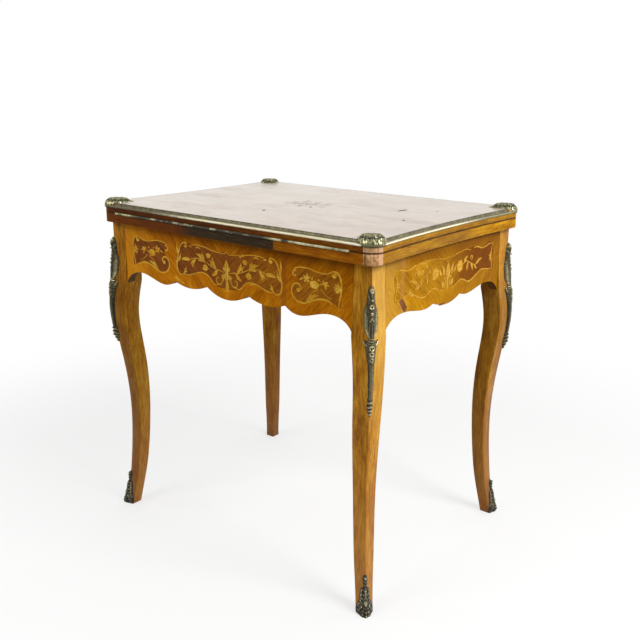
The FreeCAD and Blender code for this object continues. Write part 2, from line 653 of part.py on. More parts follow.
def build_frame():
    centre = panel(CENTRE_PANEL, FRONT_DRAWN, FRONT_SPAN, HALF_WIDTH, True)
    small = panel(SMALL_PANEL, FRONT_DRAWN, FRONT_SPAN, HALF_WIDTH, False)
    long_panels = {"centre": centre, "right": small, "left": mirrored(small, (-1, 1))}
    side_panel = panel(SIDE_PANEL, SIDE_DRAWN, SIDE_SPAN, HALF_LENGTH, True)
    long_apron = apron(FRONT_DRAWN, FRONT_SPAN, HALF_WIDTH, FRONT_BRACKET, FRONT_LOBES, FRONT_MIDDLE,
                       list(long_panels.values()))
    short_apron = apron(SIDE_DRAWN, SIDE_SPAN, HALF_LENGTH, SIDE_BRACKET, (), SIDE_MIDDLE, [side_panel])
    inner = well_parts()
    for name, part in inner.items():
        write(name, part)
    for name, quarter in (("front", 0), ("back", 2)):
        write("apron_" + name, turned(long_apron, quarter).cut(group(list(inner.values()))))
        for place, shape in long_panels.items():
            write("panel_" + name + "_" + place, turned(shape, quarter))
    for name, quarter in (("right", 1), ("left", 3)):
        write("apron_" + name, turned(short_apron, quarter).cut(group(list(inner.values()))))
        write("panel_" + name, turned(side_panel, quarter))
    write("corner_blocks", group([corner_block(-1), corner_block(1)]))
    long_mortise = mirrored(tenon(FRONT_SPAN, HALF_WIDTH, TENON_FIT), (1, -1))
    short_mortise = turned(tenon(SIDE_SPAN, HALF_LENGTH, TENON_FIT), 1)
    build_legs([long_mortise, short_mortise])


os.makedirs("parts", exist_ok=True)
build_upper_leaf()
build_lower_leaf()
build_frame()
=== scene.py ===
import bmesh
import bpy
import json
import math
import random
from mathutils import Matrix, Vector, noise


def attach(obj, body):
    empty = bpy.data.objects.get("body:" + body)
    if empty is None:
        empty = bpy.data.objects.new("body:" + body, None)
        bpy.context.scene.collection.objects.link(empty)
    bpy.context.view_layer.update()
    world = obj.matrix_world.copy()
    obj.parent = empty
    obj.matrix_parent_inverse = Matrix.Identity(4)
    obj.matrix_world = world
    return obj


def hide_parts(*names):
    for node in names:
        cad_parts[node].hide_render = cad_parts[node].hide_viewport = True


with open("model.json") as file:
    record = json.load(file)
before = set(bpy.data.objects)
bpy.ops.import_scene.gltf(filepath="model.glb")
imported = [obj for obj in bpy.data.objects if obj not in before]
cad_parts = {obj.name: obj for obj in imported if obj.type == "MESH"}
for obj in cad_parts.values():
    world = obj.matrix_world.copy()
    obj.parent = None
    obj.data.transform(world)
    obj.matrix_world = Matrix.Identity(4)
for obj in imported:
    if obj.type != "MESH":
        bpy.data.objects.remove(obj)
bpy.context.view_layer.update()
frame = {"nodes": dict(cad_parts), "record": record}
NODES = frame["nodes"]
BODY_OF = {n: b for b, members in frame["record"]["behaviour"]["bodies"].items() for n in members}
SLOT_OF = {p["node"]: p["material_slot"] for p in frame["record"]["subparts"]}
MM = 0.001
CORNERS = {"front_left": (-1, -1), "front_right": (1, -1), "back_left": (-1, 1), "back_right": (1, 1)}

# Sizes shared with the CAD part, in millimetres
FRAME_X, FRAME_Y = 368.0, 268.0
TOP_X, TOP_Y, TOP_Z = 385.0, 285.0, 760.0
CORNER_R, END_HOLLOW, BACK_HOLLOW = 26.0, 10.0, 6.0
CAP_X, CAP_Y, CAP_R, CAP_TAIL = 360.0, 260.0, 27.0, 11.8
KNEE_TOP, KNEE_LENGTH, SABOT_TOP = 677.7, 254.0, 84.0
LOWER_CLOTH_Z, UPPER_CLOTH_Z = 736.3, 738.5

# Flat size of each cloth, in metres
BAIZE = (0.646, 0.446)

# Small measures of the making, in millimetres
LEG_EASE, APRON_EASE, LEAF_EASE = 0.8, 0.6, 0.5
INLAY_THICK, INLAY_LIFT, INLAY_STEP = 0.12, 0.05, 0.004
CLOTH_THICK, CLOTH_RISE, CLOTH_NAP = 1.05, 0.05, 0.03

# Places on the surfaces, in metres
APRON_SPAN_X, APRON_SPAN_Y = 0.3263, 0.2263
VENEER_BACK_X, VENEER_BACK_Y = 0.3668, 0.2668
FIELD_X, FIELD_Y = 0.322, 0.222
RIGHT_SIDE = (0.3, 0.36)
PALE_STRIP = (-0.177, -0.172, -0.163, -0.158)
# Band about the gap between the leaves, darkened as dirt and painted shade
JOINT_DIRT_AND_SHADE = (0.7358, 0.7368, 0.7390, 0.7402)

# Slant of the grain, in degrees
APRON_SLANT, PANEL_SLANT, FIELD_SLANT = 48, 40, 14


def lin(c):
    c /= 255
    return c / 12.92 if c <= 0.04045 else ((c + 0.055) / 1.055) ** 2.4


def rgb(r, g, b):
    return lin(r), lin(g), lin(b), 1.0


def clamp(x, low=0.0, shadow_under_top=1.0):
    return max(low, min(shadow_under_top, x))


def smooth(a, b, x):
    t = clamp((x - a) / (b - a))
    return t * t * (3 - 2 * t)


def within(x, a, b, c, d):
    """1 between b and c, eased to 0 at a and d."""
    return smooth(a, b, x) * (1 - smooth(c, d, x))


def bump_at(x, width):
    return math.exp(-(x / width) ** 2)


def wave(x, length):
    return math.cos(2 * math.pi * x / length)


def along(table, x):
    """Value of a table of (place, value) rows at x, eased between the rows."""
    for (a, va), (b, vb) in zip(table, table[1:]):
        if x <= b:
            return va + (vb - va) * smooth(a, b, x)
    return table[-1][1]


# Materials

class Value:
    """Number that varies over a surface, for arithmetic with other numbers."""

    def __init__(self, nodes, socket):
        self.nodes = nodes
        self.socket = socket

    def __add__(self, other):
        return self.nodes.math("ADD", self, other)

    def __sub__(self, other):
        return self.nodes.math("SUBTRACT", self, other)

    def __rsub__(self, other):
        return self.nodes.math("SUBTRACT", other, self)

    def __mul__(self, other):
        return self.nodes.math("MULTIPLY", self, other)

    def __truediv__(self, other):
        return self.nodes.math("DIVIDE", self, other)

    def __abs__(self):
        return self.nodes.math("ABSOLUTE", self)


class Nodes:
    """Shader nodes of a material or of the room."""

    def __init__(self, owner):
        owner.use_nodes = True
        self.tree = owner.node_tree

    def node(self, kind, **inputs):
        node = self.tree.nodes.new("ShaderNode" + kind)
        for key, value in inputs.items():
            if hasattr(node, key):
                setattr(node, key, value)
            else:
                self.give(node.inputs[key.replace("_", " ")], value)
        return node

    def give(self, socket, value):
        if isinstance(value, Value):
            value = value.socket
        if isinstance(value, bpy.types.NodeSocket):
            self.tree.links.new(value, socket)
        else:
            socket.default_value = value

    def math(self, operation, a, b=0.0):
        node = self.node("Math", operation=operation)
        self.give(node.inputs[0], a)
        self.give(node.inputs[1], b)
        return Value(self, node.outputs[0])

    def ramp(self, value, stops):
        node = self.node("ValToRGB", Fac=value)
        points = node.color_ramp.elements
        while len(points) < len(stops):
            points.new(0.5)
        for point, (place, colour) in zip(points, stops):
            point.position = place
            point.color = colour
        return node.outputs[0]

    def mix(self, amount, a, b):
        node = self.node("Mix", data_type="RGBA")
        self.give(node.inputs[0], amount)
        self.give(node.inputs[6], a)
        self.give(node.inputs[7], b)
        return node.outputs[2]


class Shader(Nodes):
    """Material under way, with the colour it has so far."""

    def __init__(self, name):
        self.material = bpy.data.materials.new(name)
        super().__init__(self.material)
        self.surface = self.tree.nodes["Principled BSDF"]
        self.place = self.node("TexCoord").outputs["Object"]
        self.axes = self.parts(self.place)
        self.colour = None

    def finish(self, **inputs):
        self.give(self.surface.inputs["Base Color"], self.colour)
        for key, value in inputs.items():
            self.give(self.surface.inputs[key.replace("_", " ")], value)
        return self.material

    def parts(self, vector):
        return [Value(self, part) for part in self.node("SeparateXYZ", Vector=vector).outputs]

    def join(self, x, y, z):
        return self.node("CombineXYZ", X=x, Y=y, Z=z).outputs[0]

    def map(self, vector, scale=(1, 1, 1), shift=(0, 0, 0), turn=0.0):
        node = self.node("Mapping", Vector=vector, Scale=scale, Location=shift, Rotation=(0, 0, turn))
        return node.outputs[0]

    def noise(self, scale, detail=3.0, rough=0.5, warp=0.0, vector=None, shift=(0, 0, 0), turn=0.0):
        """Cloudy values about a half; a scale of three numbers stretches the clouds."""
        if vector is None:
            vector = self.place
        if isinstance(scale, tuple):
            vector = self.map(vector, scale, shift, turn)
            scale = 1.0
        node = self.node("TexNoise", Vector=vector, Scale=scale, Detail=detail, Roughness=rough,
                         Distortion=warp)
        return Value(self, node.outputs[0])

    def step(self, value, low, shadow_under_top, to_low=0.0, to_high=1.0):
        node = self.node("MapRange", interpolation_type="SMOOTHSTEP", Value=value, From_Min=low,
                         From_Max=shadow_under_top, To_Min=to_low, To_Max=to_high)
        return Value(self, node.outputs[0])

    def between(self, value, a, b, c, d):
        return self.step(value, a, b) * self.step(value, c, d, 1.0, 0.0)

    def most(self, a, b):
        return self.math("MAXIMUM", a, b)

    def shades(self, value, *stops):
        """Ramp of stops that are each a place and the three numbers of a colour."""
        return self.ramp(value, [(place, rgb(*colour)) for place, *colour in stops])

    def stain(self, amount, *colour):
        self.colour = self.mix(amount, self.colour, rgb(*colour))

    def relief(self, height, distance, strength):
        return self.node("Bump", Height=height, Distance=distance, Strength=strength).outputs[0]

    def facing(self):
        return self.parts(self.node("NewGeometry").outputs["Normal"])


def wood(s, vector, palette, seed=0.0, figure=26.0, spread=0.5, line=0.5, age=0.35):
    """Colour and height of wood with its grain along X of the vector; the palette goes from dark to light."""
    def grain(scale, *looks):
        return s.noise(scale, *looks, vector=vector, shift=(seed, seed * 1.7, seed * 0.6))

    broad = grain((1.8, figure, figure), 7.0, 0.66, 0.6)
    fibre = grain((26.0, 230.0, 230.0), 4.0, 0.7)
    pores = grain((40.0, 800.0, 800.0), 1.0)
    cloud = grain((16.0, 34.0, 34.0), 6.0, 0.7)
    tone = (fibre - 0.5) * line + (broad - 0.5) * spread + (cloud - 0.5) * 0.4 + 0.5
    colour = s.ramp(tone, list(zip((0.3, 0.44, 0.56, 0.7), palette)))
    pore = s.step(pores, 0.56, 0.7)
    colour = s.mix(pore * line, colour, palette[0])
    patina = s.step(grain((6.0, 22.0, 22.0), 5.0, 0.62), 0.46, 0.74)
    colour = s.mix(patina * age, colour, palette[0])
    speck = s.step(s.noise((110.0, 260.0, 260.0), 2.0, 0.6, vector=vector), 0.69, 0.75)
    colour = s.mix(speck * 0.6, colour, rgb(44, 22, 8))
    return colour, fibre * 0.5 - pore * 0.7


def varnish(s, height, coat=0.07, gloss=0.2):
    """Shellac over wood: a thin amber coat with dull patches."""
    dull = s.step(s.noise(16.0, 5.0, 0.65), 0.4, 0.75)
    return s.finish(Roughness=0.4, Normal=s.relief(height, 0.0001, 0.5), Coat_Weight=coat,
                    Coat_Roughness=dull * 0.2 + 0.12, Coat_IOR=1.5, Specular_IOR_Level=gloss,
                    Specular_Tint=(1.0, 0.62, 0.2, 1.0))


def tones(*colours):
    return [rgb(*c) for c in colours]


GOLD = tones((118, 56, 0), (180, 102, 0), (214, 132, 4), (238, 170, 30))
AMBER = tones((114, 65, 0), (164, 106, 0), (197, 139, 8), (226, 176, 42))
HONEY = tones((104, 58, 10), (170, 110, 24), (206, 146, 40), (232, 184, 76))
RED_BROWN = tones((86, 38, 8), (124, 64, 14), (146, 80, 18), (170, 102, 26))
FADED = tones((112, 58, 0), (152, 88, 4), (178, 110, 10), (204, 140, 26))
OCHRE = tones((112, 68, 0), (160, 108, 4), (188, 134, 16), (212, 164, 46))
RUSSET = tones((84, 40, 0), (118, 60, 0), (138, 74, 0), (162, 96, 4))
WALNUT = tones((92, 54, 30), (126, 82, 50), (150, 104, 68), (174, 130, 92))
BISTRE = tones((74, 40, 16), (112, 66, 30), (138, 86, 44), (166, 112, 66))
PALE = tones((176, 110, 20), (226, 162, 40), (246, 194, 66), (254, 222, 112))
STRAW = tones((150, 96, 18), (206, 148, 38), (230, 180, 66), (246, 208, 108))
CARCASS = tones((92, 58, 28), (132, 92, 52), (158, 118, 74), (180, 142, 98))
# Pale rosy tone painted as the reflection of the light on the rounded corners of the leaves
ROSY_REFLECTION = tones((140, 94, 58), (200, 150, 106), (226, 184, 138), (244, 214, 172))


def darken_far(s):
    """Veneer of the right side, darker towards the back."""
    x, y = s.axes[:2]
    s.stain(s.step(y, -0.16, 0.16, 0.0, 0.4) * s.step(x, *RIGHT_SIDE), 112, 60, 0)


def lighten_strip(s):
    """Pale upright strip of the right side, near the front."""
    x, y = s.axes[:2]
    s.stain(s.between(y, *PALE_STRIP) * s.step(x, *RIGHT_SIDE, 0.0, 0.17), 204, 148, 100)


def apron_veneer(name, end):
    """Veneer with slanted grain, mirrored at the middle of the side, dark in the joints, with a painted
    shadow under the top, painted shade on the underside, and on the long sides painted light at the left end.
    """
    s = Shader(name)
    x, y, z = s.axes
    run, depth, span, back = (x, y, APRON_SPAN_X, VENEER_BACK_Y)
    if end:
        run, depth, span, back = (y, x, APRON_SPAN_Y, VENEER_BACK_X)
    across = abs(run)
    vector = s.map(s.join(across, z, depth), turn=-math.radians(APRON_SLANT))
    # Upper band where the top's overhang casts a painted shadow
    shadow_under_top = s.step(z, 0.662, 0.716)
    if end:
        s.colour, height = wood(s, vector, AMBER, 3.0, 90.0, 0.14, 0.36, 0.14)
        # Painted shadow of the top's overhang along the upper edge of the end
        s.stain(shadow_under_top * 0.72, 104, 54, 0)
        s.stain(s.step(y, -0.13, -0.22, 0.0, 0.22), 246, 200, 96)
        lighten_strip(s)
    else:
        s.colour, height = wood(s, vector, GOLD, 1.0, 90.0, 0.14)
        # Painted shadow of the top's overhang, and painted light: lighter at the left end, darker towards the
        # right
        s.stain(s.most(shadow_under_top * 0.45 + s.step(x, -0.36, 0.2, -0.12, 0.16), 0.0), 88, 44, 0)
        s.stain(s.step(x, -0.33, -0.2, 0.36, 0.0), 240, 168, 40)
        s.stain(s.between(x, 0.146, 0.152, 0.160, 0.166) * s.step(y, -0.2, -0.25, 0.0, 0.4), 124, 62, 22)
    core = wood(s, s.join(run, z, depth), CARCASS, 11.0, 30.0)[0]
    s.colour = s.mix(s.step(abs(depth), back - 0.0004, back, 1.0, 0.0), s.colour, core)
    seam = s.step(across, span - 0.002, span)
    underside_shade = s.step(s.facing()[2], -0.15, -0.5)
    # Dark joints at the ends, and painted shade on the faces that look down
    s.stain(s.most(seam * 0.75, underside_shade * 0.85), 48, 22, 6)
    if end:
        darken_far(s)
    return varnish(s, height, 0.012, 0.02 if end else 0.1)


def shade_and_age_leg(s):
    """Leg streaked and duller towards the floor, with painted shade on the inner faces and low on the right
    face of the back-right leg, a painted highlight on the right face of the near leg, and the front-left leg
    darker low on its front.
    """
    x, y, z = s.axes
    nx, ny = s.facing()[:2]
    s.stain(s.step(z, 0.05, 0.4, 0.5, 0.0), 162, 108, 70)
    s.stain(s.step(s.noise((70, 70, 6), 5.0, 0.68), 0.5, 0.68, 0.0, 0.4), 142, 72, 22)
    # Right faces of the legs on the right, towards the lamp
    lamp_side = s.step(x, 0.2, 0.22) * s.step(nx, 0.6, 0.95)
    front = s.step(y, -0.15, -0.17)
    # Painted highlight on the upper right face of the near leg
    s.stain(lamp_side * front * s.step(z, 0.4, 0.6, 0.0, 0.38), 246, 198, 92)
    left = front * s.step(x, -0.2, -0.22)
    lit = left * s.step(nx, 0.5, 0.9)
    # Painted shade on the inner faces, held back on the lit inner face of the front-left leg
    inner_shade = s.step(nx * x + ny * y, -0.05, -0.2, 0.0, 0.38) * (1.0 - lit * 0.9)
    below = s.step(z, 0.56, 0.64, 1.0, 0.0)
    # Front-left leg darker low on its front face
    low_front = left * below * s.step(ny, -0.5, -0.9, 0.0, 0.5)
    s.stain(s.most(inner_shade, low_front), 84, 44, 14)
    # Painted shade low on the right face of the back-right leg
    s.stain(lamp_side * below * s.step(y, 0.15, 0.17, 0.0, 0.42), 110, 68, 34)


def upright_wood(name, palette, leg=False):
    s = Shader(name)
    x, y, z = s.axes
    s.colour, height = wood(s, s.join(z, x, y), palette, 5.0, 30.0)
    if leg:
        shade_and_age_leg(s)
    return varnish(s, height, 0.025, 0.1)


def ground_veneer(name):
    """Panel ground of the long sides: red-brown, faded by light towards one end of the front."""
    s = Shader(name)
    x, y, z = s.axes
    vector = s.map(s.join(abs(x), z, y), turn=-math.radians(PANEL_SLANT))
    dark = wood(s, vector, RED_BROWN, 7.0, 90.0, 0.35, 0.6)[0]
    light, height = wood(s, vector, FADED, 7.0, 90.0, 0.35, 0.6)
    cloud = s.noise(14.0) * 0.16 + x - 0.08
    fade = s.step(cloud, -0.04, 0.2) * s.step(y, -0.25, -0.2, 0.85, 0.0)
    s.colour = s.mix(fade, dark, light)
    return varnish(s, height)


def end_ground_veneer(name):
    """Faded ground of the end panels: ochre, turning russet towards the back and in one worn spot."""
    s = Shader(name)
    x, y, z = s.axes
    vector = s.map(s.join(abs(y), z, x), turn=-math.radians(PANEL_SLANT))
    dark = wood(s, vector, RUSSET, 7.0, 90.0, 0.3, 0.5, 0.2)[0]
    light, height = wood(s, vector, OCHRE, 9.0, 90.0, 0.2, 0.4, 0.16)
    ragged = s.noise(30.0, 4.0)
    fade = s.step(ragged * 0.14 + y, 0.03, 0.19)
    off_y, off_z = (y - 0.07) / 0.026, (z - 0.643) / 0.019
    worn = s.step(ragged * 1.6 + (off_y * off_y + off_z * off_z), 1.3, 2.1, 0.9, 0.0)
    s.colour = s.mix(s.most(fade, worn), light, dark)
    lighten_strip(s)
    darken_far(s)
    return varnish(s, height, 0.012, 0.02)


def inlay_wood(name, palette, wear=0.0):
    """Pale veneer with engraved veins and scorched shading across each leaf, worn off in spots."""
    s = Shader(name)
    x, y, z = s.axes
    across = s.parts(s.node("UVMap", uv_map="UVMap").outputs[0])[1]
    s.colour, height = wood(s, s.join(x + z, y, z), palette, 2.0, 60.0)
    scorch = s.step(across, 0.0, 0.55, 1.0, 0.0) * s.noise(160.0, 2.0)
    s.stain(scorch * 0.8, 112, 60, 18)
    vein = s.step(abs(across - 0.5), 0.03, 0.07, 1.0, 0.0)
    s.stain(vein * 0.7, 96, 52, 18)
    spots = s.step(s.noise(75.0, 4.0, 0.7), 0.45, 0.6)
    s.stain(spots * wear, 176, 116, 20)
    return varnish(s, height, 0.02, 0.03 if wear else 0.12)


def corner_reflection(s, vector):
    """Rosy tone at the near corner of the leaves, painted as the pale reflection of the light on the rounded
    corner, with a lighter painted highlight band, blots, dark lines and a darker band towards the front.
    """
    x, y, z = s.axes
    reflection = wood(s, vector, ROSY_REFLECTION, 4.0, 60.0)[0]
    blot = s.step(s.noise((110, 110, 80), 5.0, 0.7), 0.42, 0.6) * s.step(z, 0.735, 0.741, 0.8, 0.5)
    reflection = s.mix(blot, reflection, rgb(158, 108, 52))
    line = s.step(s.noise((60, 60, 420), 4.0, 0.7), 0.56, 0.66, 0.0, 0.55)
    reflection = s.mix(line, reflection, rgb(92, 56, 34))
    turn = s.math("ARCTAN2", y + 0.259, x - 0.359)
    # Painted highlight: a lighter band across the rounded corner
    reflection = s.mix(s.between(turn, -0.47, -0.4, -0.1, -0.05) * 0.6, reflection, rgb(236, 186, 150))
    # Darker band where the corner turns towards the front
    dark_band = s.between(turn, -1.5, -1.44, -1.38, -1.3) * s.step(z, 0.736, 0.738, 0.65, 0.2)
    reflection = s.mix(dark_band, reflection, rgb(92, 76, 60))
    near = s.step(x, 0.3, 0.32) * s.step(y, -0.2, -0.22)
    s.colour = s.mix(near, s.colour, reflection)


def lost_veneer(s, front):
    """Length of veneer lost from the front of the lower leaf, which is given back, and grime with painted
    shade on the upper leaf above it.
    """
    x, z = s.axes[0], s.axes[2]
    left = s.step(x + (s.noise(70.0) * 0.02 - 0.01), -0.15, -0.075)
    right = s.step(x, 0.1455, 0.1465, 1.0, 0.0)
    low = s.step(z, 0.7372, 0.7378, 1.0, 0.0)
    lost = left * right * (low * front)
    bare = s.shades(s.noise((30, 200, 320), 5.0, 0.7), (0.3, 34, 25, 18), (0.7, 80, 63, 45))
    s.colour = s.mix(lost, s.colour, bare)
    # Grime with painted shade on the front of the upper leaf, mottled and heavier at the left
    upper = front * s.step(z, 0.739, 0.7396)
    grime_and_shade = s.step(s.noise((40, 90, 240), 5.0, 0.7), 0.36, 0.62, 0.35, 0.95)
    s.stain(upper * (grime_and_shade * s.step(x, -0.1, 0.2, 0.9, 0.72)), 72, 36, 20)
    return lost


def edge_wood(name, run):
    """Edge of a leaf: stained, with dirt and painted shade along the gap between the leaves, painted shade at
    the front, and a painted reflection on the rounded corner.
    """
    s = Shader(name)
    x, y, z = s.axes
    vector = s.join(*{"x": (x, z, y), "y": (y, z, x), "z": (z, x, y)}[run])
    if run == "y":
        s.colour, height = wood(s, vector, AMBER, 4.0, 60.0, 0.3, 0.45, 0.2)
    else:
        s.colour, height = wood(s, vector, GOLD if run == "x" else AMBER, 4.0, 44.0)
        # Painted shade on the front edges, heavier towards the left
        front = s.step(y, -0.24 if run == "z" else -0.270, -0.274)
        s.stain(s.step(x, -0.1, 0.3, 0.85, 0.42) * front, 92, 42, 16)
    if run == "z":
        corner_reflection(s, vector)
    if run == "x":
        height = height - lost_veneer(s, front) * 2.0
    stained = s.step(s.noise((26, 26, 90), 5.0, 0.7), 0.5, 0.68, 0.0, 0.5)
    s.stain(stained * s.step(x, 0.0, -0.3, 0.3, 1.0), 46, 22, 8)
    if run == "y":
        s.stain(s.step(z, 0.7392, 0.7398, 0.0, 0.34), 110, 84, 50)
        s.stain(s.step(z, 0.7366, 0.7372, 1.0, 0.0) * s.step(y, 0.2, 0.02, 0.0, 0.28), 120, 94, 58)
    # Dirt and painted shade along the gap between the leaves
    s.stain(s.between(z, *JOINT_DIRT_AND_SHADE) * 0.9, 34, 16, 4)
    return varnish(s, height, 0.015, 0.12 if run == "x" else 0.03)


def top_wood(name):
    """Glossy upper face: mirrored walnut field, cross-cut border, hazy varnish, scratches and chips."""
    s = Shader(name)
    x, y, z = s.axes
    slanted = s.map(s.join(x, abs(y), z), turn=-math.radians(FIELD_SLANT))
    field = wood(s, slanted, WALNUT, 1.0, 22.0, 0.35)[0]
    ends = wood(s, s.join(x, y, z), WALNUT, 6.0, 30.0, 0.4)[0]
    sides = wood(s, s.join(y, x, z), WALNUT, 8.0, 30.0, 0.4)[0]
    past_x, past_y = abs(x) - FIELD_X, abs(y) - FIELD_Y
    band = s.mix(s.math("GREATER_THAN", past_x, past_y), sides, ends)
    s.colour = s.mix(s.step(s.most(past_x, past_y), -0.0002, 0.0002), field, band)
    scratch = s.step(s.noise((5.0, 260.0, 1.0), 2.0, turn=0.32), 0.69, 0.73)
    cross = s.step(s.noise((200.0, 4.0, 1.0), 2.0, turn=0.5), 0.71, 0.75)
    chip = s.step(s.noise((34.0, 60.0, 1.0), 4.0, 0.65), 0.735, 0.765)
    s.stain(scratch * 0.5, 70, 40, 24)
    s.stain(chip, 34, 22, 15)
    dull = s.step(s.noise(9.0, 6.0, 0.7), 0.35, 0.75)
    smudge = s.step(s.noise((7.0, 16.0, 1.0), 7.0, 0.7, turn=0.5), 0.46, 0.72)
    height = s.noise((9.0, 60.0, 1.0)) * 0.5 - s.most(s.most(scratch, cross), chip)
    nearby = x * 0.61 - y * 0.79
    sound = (1.0 - s.most(chip, scratch * 0.5)) * s.step(nearby, 0.0, 0.4, 1.0, 0.93)
    return s.finish(Roughness=0.4, Coat_Weight=sound * (1.0 - smudge * 0.24),
                    Coat_Roughness=dull * 0.12 + 0.16, Coat_IOR=1.75,
                    Sheen_Roughness=0.35, Sheen_Tint=(1.0, 0.985, 0.86, 1.0),
                    Sheen_Weight=sound * (0.76 - smudge * 0.3),
                    Normal=s.relief(height, 0.00008, 0.35), Coat_Normal=s.relief(height, 0.00005, 0.2))


def worn_inlay(name):
    """Marquetry of the top, seen through the glare only where its varnish is worn."""
    s = Shader(name)
    x, y, z = s.axes
    s.colour, height = wood(s, s.join(x + y, y, z), BISTRE, 2.0, 60.0)
    worn = s.step(s.noise(70.0, 4.0, 0.65), 0.44, 0.62)
    return s.finish(Roughness=0.4, Coat_Weight=1.0 - worn * 0.7, Coat_Roughness=0.2, Coat_IOR=1.75,
                    Sheen_Weight=0.68 - worn * 0.6, Sheen_Roughness=0.35, Sheen_Tint=(1.0, 0.95, 0.86, 1.0),
                    Normal=s.relief(height, 0.0001, 0.4))


def chipped(name):
    s = Shader(name)
    spots = s.noise(300.0, 4.0, 0.65)
    s.colour = s.shades(spots, (0.35, 26, 18, 12), (0.65, 84, 58, 40))
    return s.finish(Roughness=0.8, Specular_IOR_Level=0.2, Normal=s.relief(spots, 0.0004, 0.5))


def bronze(name, dark, middle, bright, rubbed):
    """Cast bronze: brown-green patina in the hollows and rubbed metal on what stands out."""
    s = Shader(name)
    height = Value(s, s.node("Attribute", attribute_name="relief").outputs["Fac"])
    spots = s.noise(260.0, 4.0, 0.6)
    level = (spots - 0.5) * 0.4 + height
    s.colour = s.shades(level, (0.08, *dark), (0.38, *middle), (0.7, *bright), (0.95, *rubbed))
    s.stain(s.step(s.noise(120.0), 0.52, 0.7) * 0.25, 96, 100, 74)
    return s.finish(Metallic=s.step(level, 0.15, 0.75, 0.3, 1.0), Specular_IOR_Level=0.5,
                    Roughness=s.step(level, 0.2, 0.9, 0.55, 0.3), Normal=s.relief(spots, 0.0005, 0.3))


def edge_brass(name):
    """Drawn brass: tarnished hollow above, rubbed bead below painted pale as a highlight, duller towards the
    left of the front, with tarnish and painted shade on the bead's lower half at the right end.
    """
    s = Shader(name)
    x, y, z = s.axes
    spots = s.noise(90.0, 5.0, 0.65)
    level = s.step((spots - 0.5) * 0.002 + z, 0.7528, 0.7546, 1.0, 0.0)
    hollow = s.shades(spots, (0.3, 84, 80, 60), (0.5, 112, 106, 82), (0.7, 146, 138, 106))
    # Rubbed brass of the bead, painted pale as a highlight
    s.colour = s.shades(spots, (0.3, 236, 216, 156), (0.5, 255, 246, 210), (0.75, 255, 252, 232))
    reach = s.noise(40.0, 4.0, 0.7) * 0.24 + (x - 0.12)
    dull = s.step(y, -0.27, -0.28) * s.step(reach, -0.22, -0.04, 0.94, 0.0)
    s.stain(dull, 82, 64, 30)
    right = s.step(x, 0.36, 0.37)
    s.stain(right * s.step(spots * 0.12 + y, 0.06, 0.2, 0.0, 0.85), 116, 114, 70)
    # Tarnish and painted shade on the lower half of the bead at the right end
    s.stain(right * s.step(z, 0.7512, 0.7518, 0.92, 0.0), 104, 86, 44)
    s.colour = s.mix(level, hollow, s.colour)
    return s.finish(Metallic=s.step(level, 0.0, 1.0, 0.8, 0.3),
                    Roughness=dull * 0.25 + s.step(level, 0.0, 1.0, 0.5, 0.3),
                    Normal=s.relief(s.noise(600.0, 2.0), 0.0002, 0.15))


def hinge_metal(name):
    """Brass of the hinge, brown where its shine is gone."""
    s = Shader(name)
    x = s.axes[0]
    spots = s.noise(60.0, 5.0, 0.65)
    s.colour = s.shades(spots, (0.32, 104, 104, 70), (0.5, 178, 178, 134), (0.7, 232, 230, 190))
    gone = s.most(s.between(x, -0.29, -0.25, 0.12, 0.14), s.between(x, 0.168, 0.172, 0.186, 0.19))
    gone = gone * s.step(spots, 0.52, 0.64, 0.95, 0.4)
    s.stain(gone, 46, 36, 22)
    return s.finish(Metallic=s.step(gone, 0.0, 1.0, 0.6, 0.2), Roughness=s.step(spots, 0.3, 0.7, 0.55, 0.34),
                    Normal=s.relief(spots, 0.0005, 0.3))


def iron(name):
    s = Shader(name)
    spots = s.noise(300.0, 4.0)
    s.colour = s.shades(spots, (0.35, 44, 38, 34), (0.6, 92, 84, 76), (0.75, 104, 70, 46))
    return s.finish(Metallic=0.85, Roughness=s.step(spots, 0.3, 0.7, 0.6, 0.4),
                    Normal=s.relief(spots, 0.0003, 0.3))


def felt(name):
    """Green cloth, worn in clouds and thin in moth spots."""
    s = Shader(name)
    fuzz = s.noise(900.0, 4.0, 0.75)
    tone = (s.noise(9.0, 7.0, 0.68) - 0.5) * 0.5 + fuzz
    s.colour = s.shades(tone, (0.3, 24, 62, 30), (0.5, 42, 88, 44), (0.7, 84, 118, 66))
    s.stain(s.step(s.noise(60.0, 3.0, 0.6), 0.7, 0.74, 0.0, 0.6), 96, 98, 60)
    return s.finish(Roughness=0.95, Sheen_Weight=0.2, Sheen_Roughness=0.5, Specular_IOR_Level=0.15,
                    Normal=s.relief(fuzz, 0.0004, 0.6))


def bare_wood(name, run):
    s = Shader(name)
    x, y, z = s.axes
    vector = s.join(*{"x": (x, y, z), "y": (y, x, z)}[run])
    s.colour, height = wood(s, vector, CARCASS, 11.0, 30.0)
    return s.finish(Roughness=0.75, Specular_IOR_Level=0.3, Normal=s.relief(height, 0.0003, 0.6))


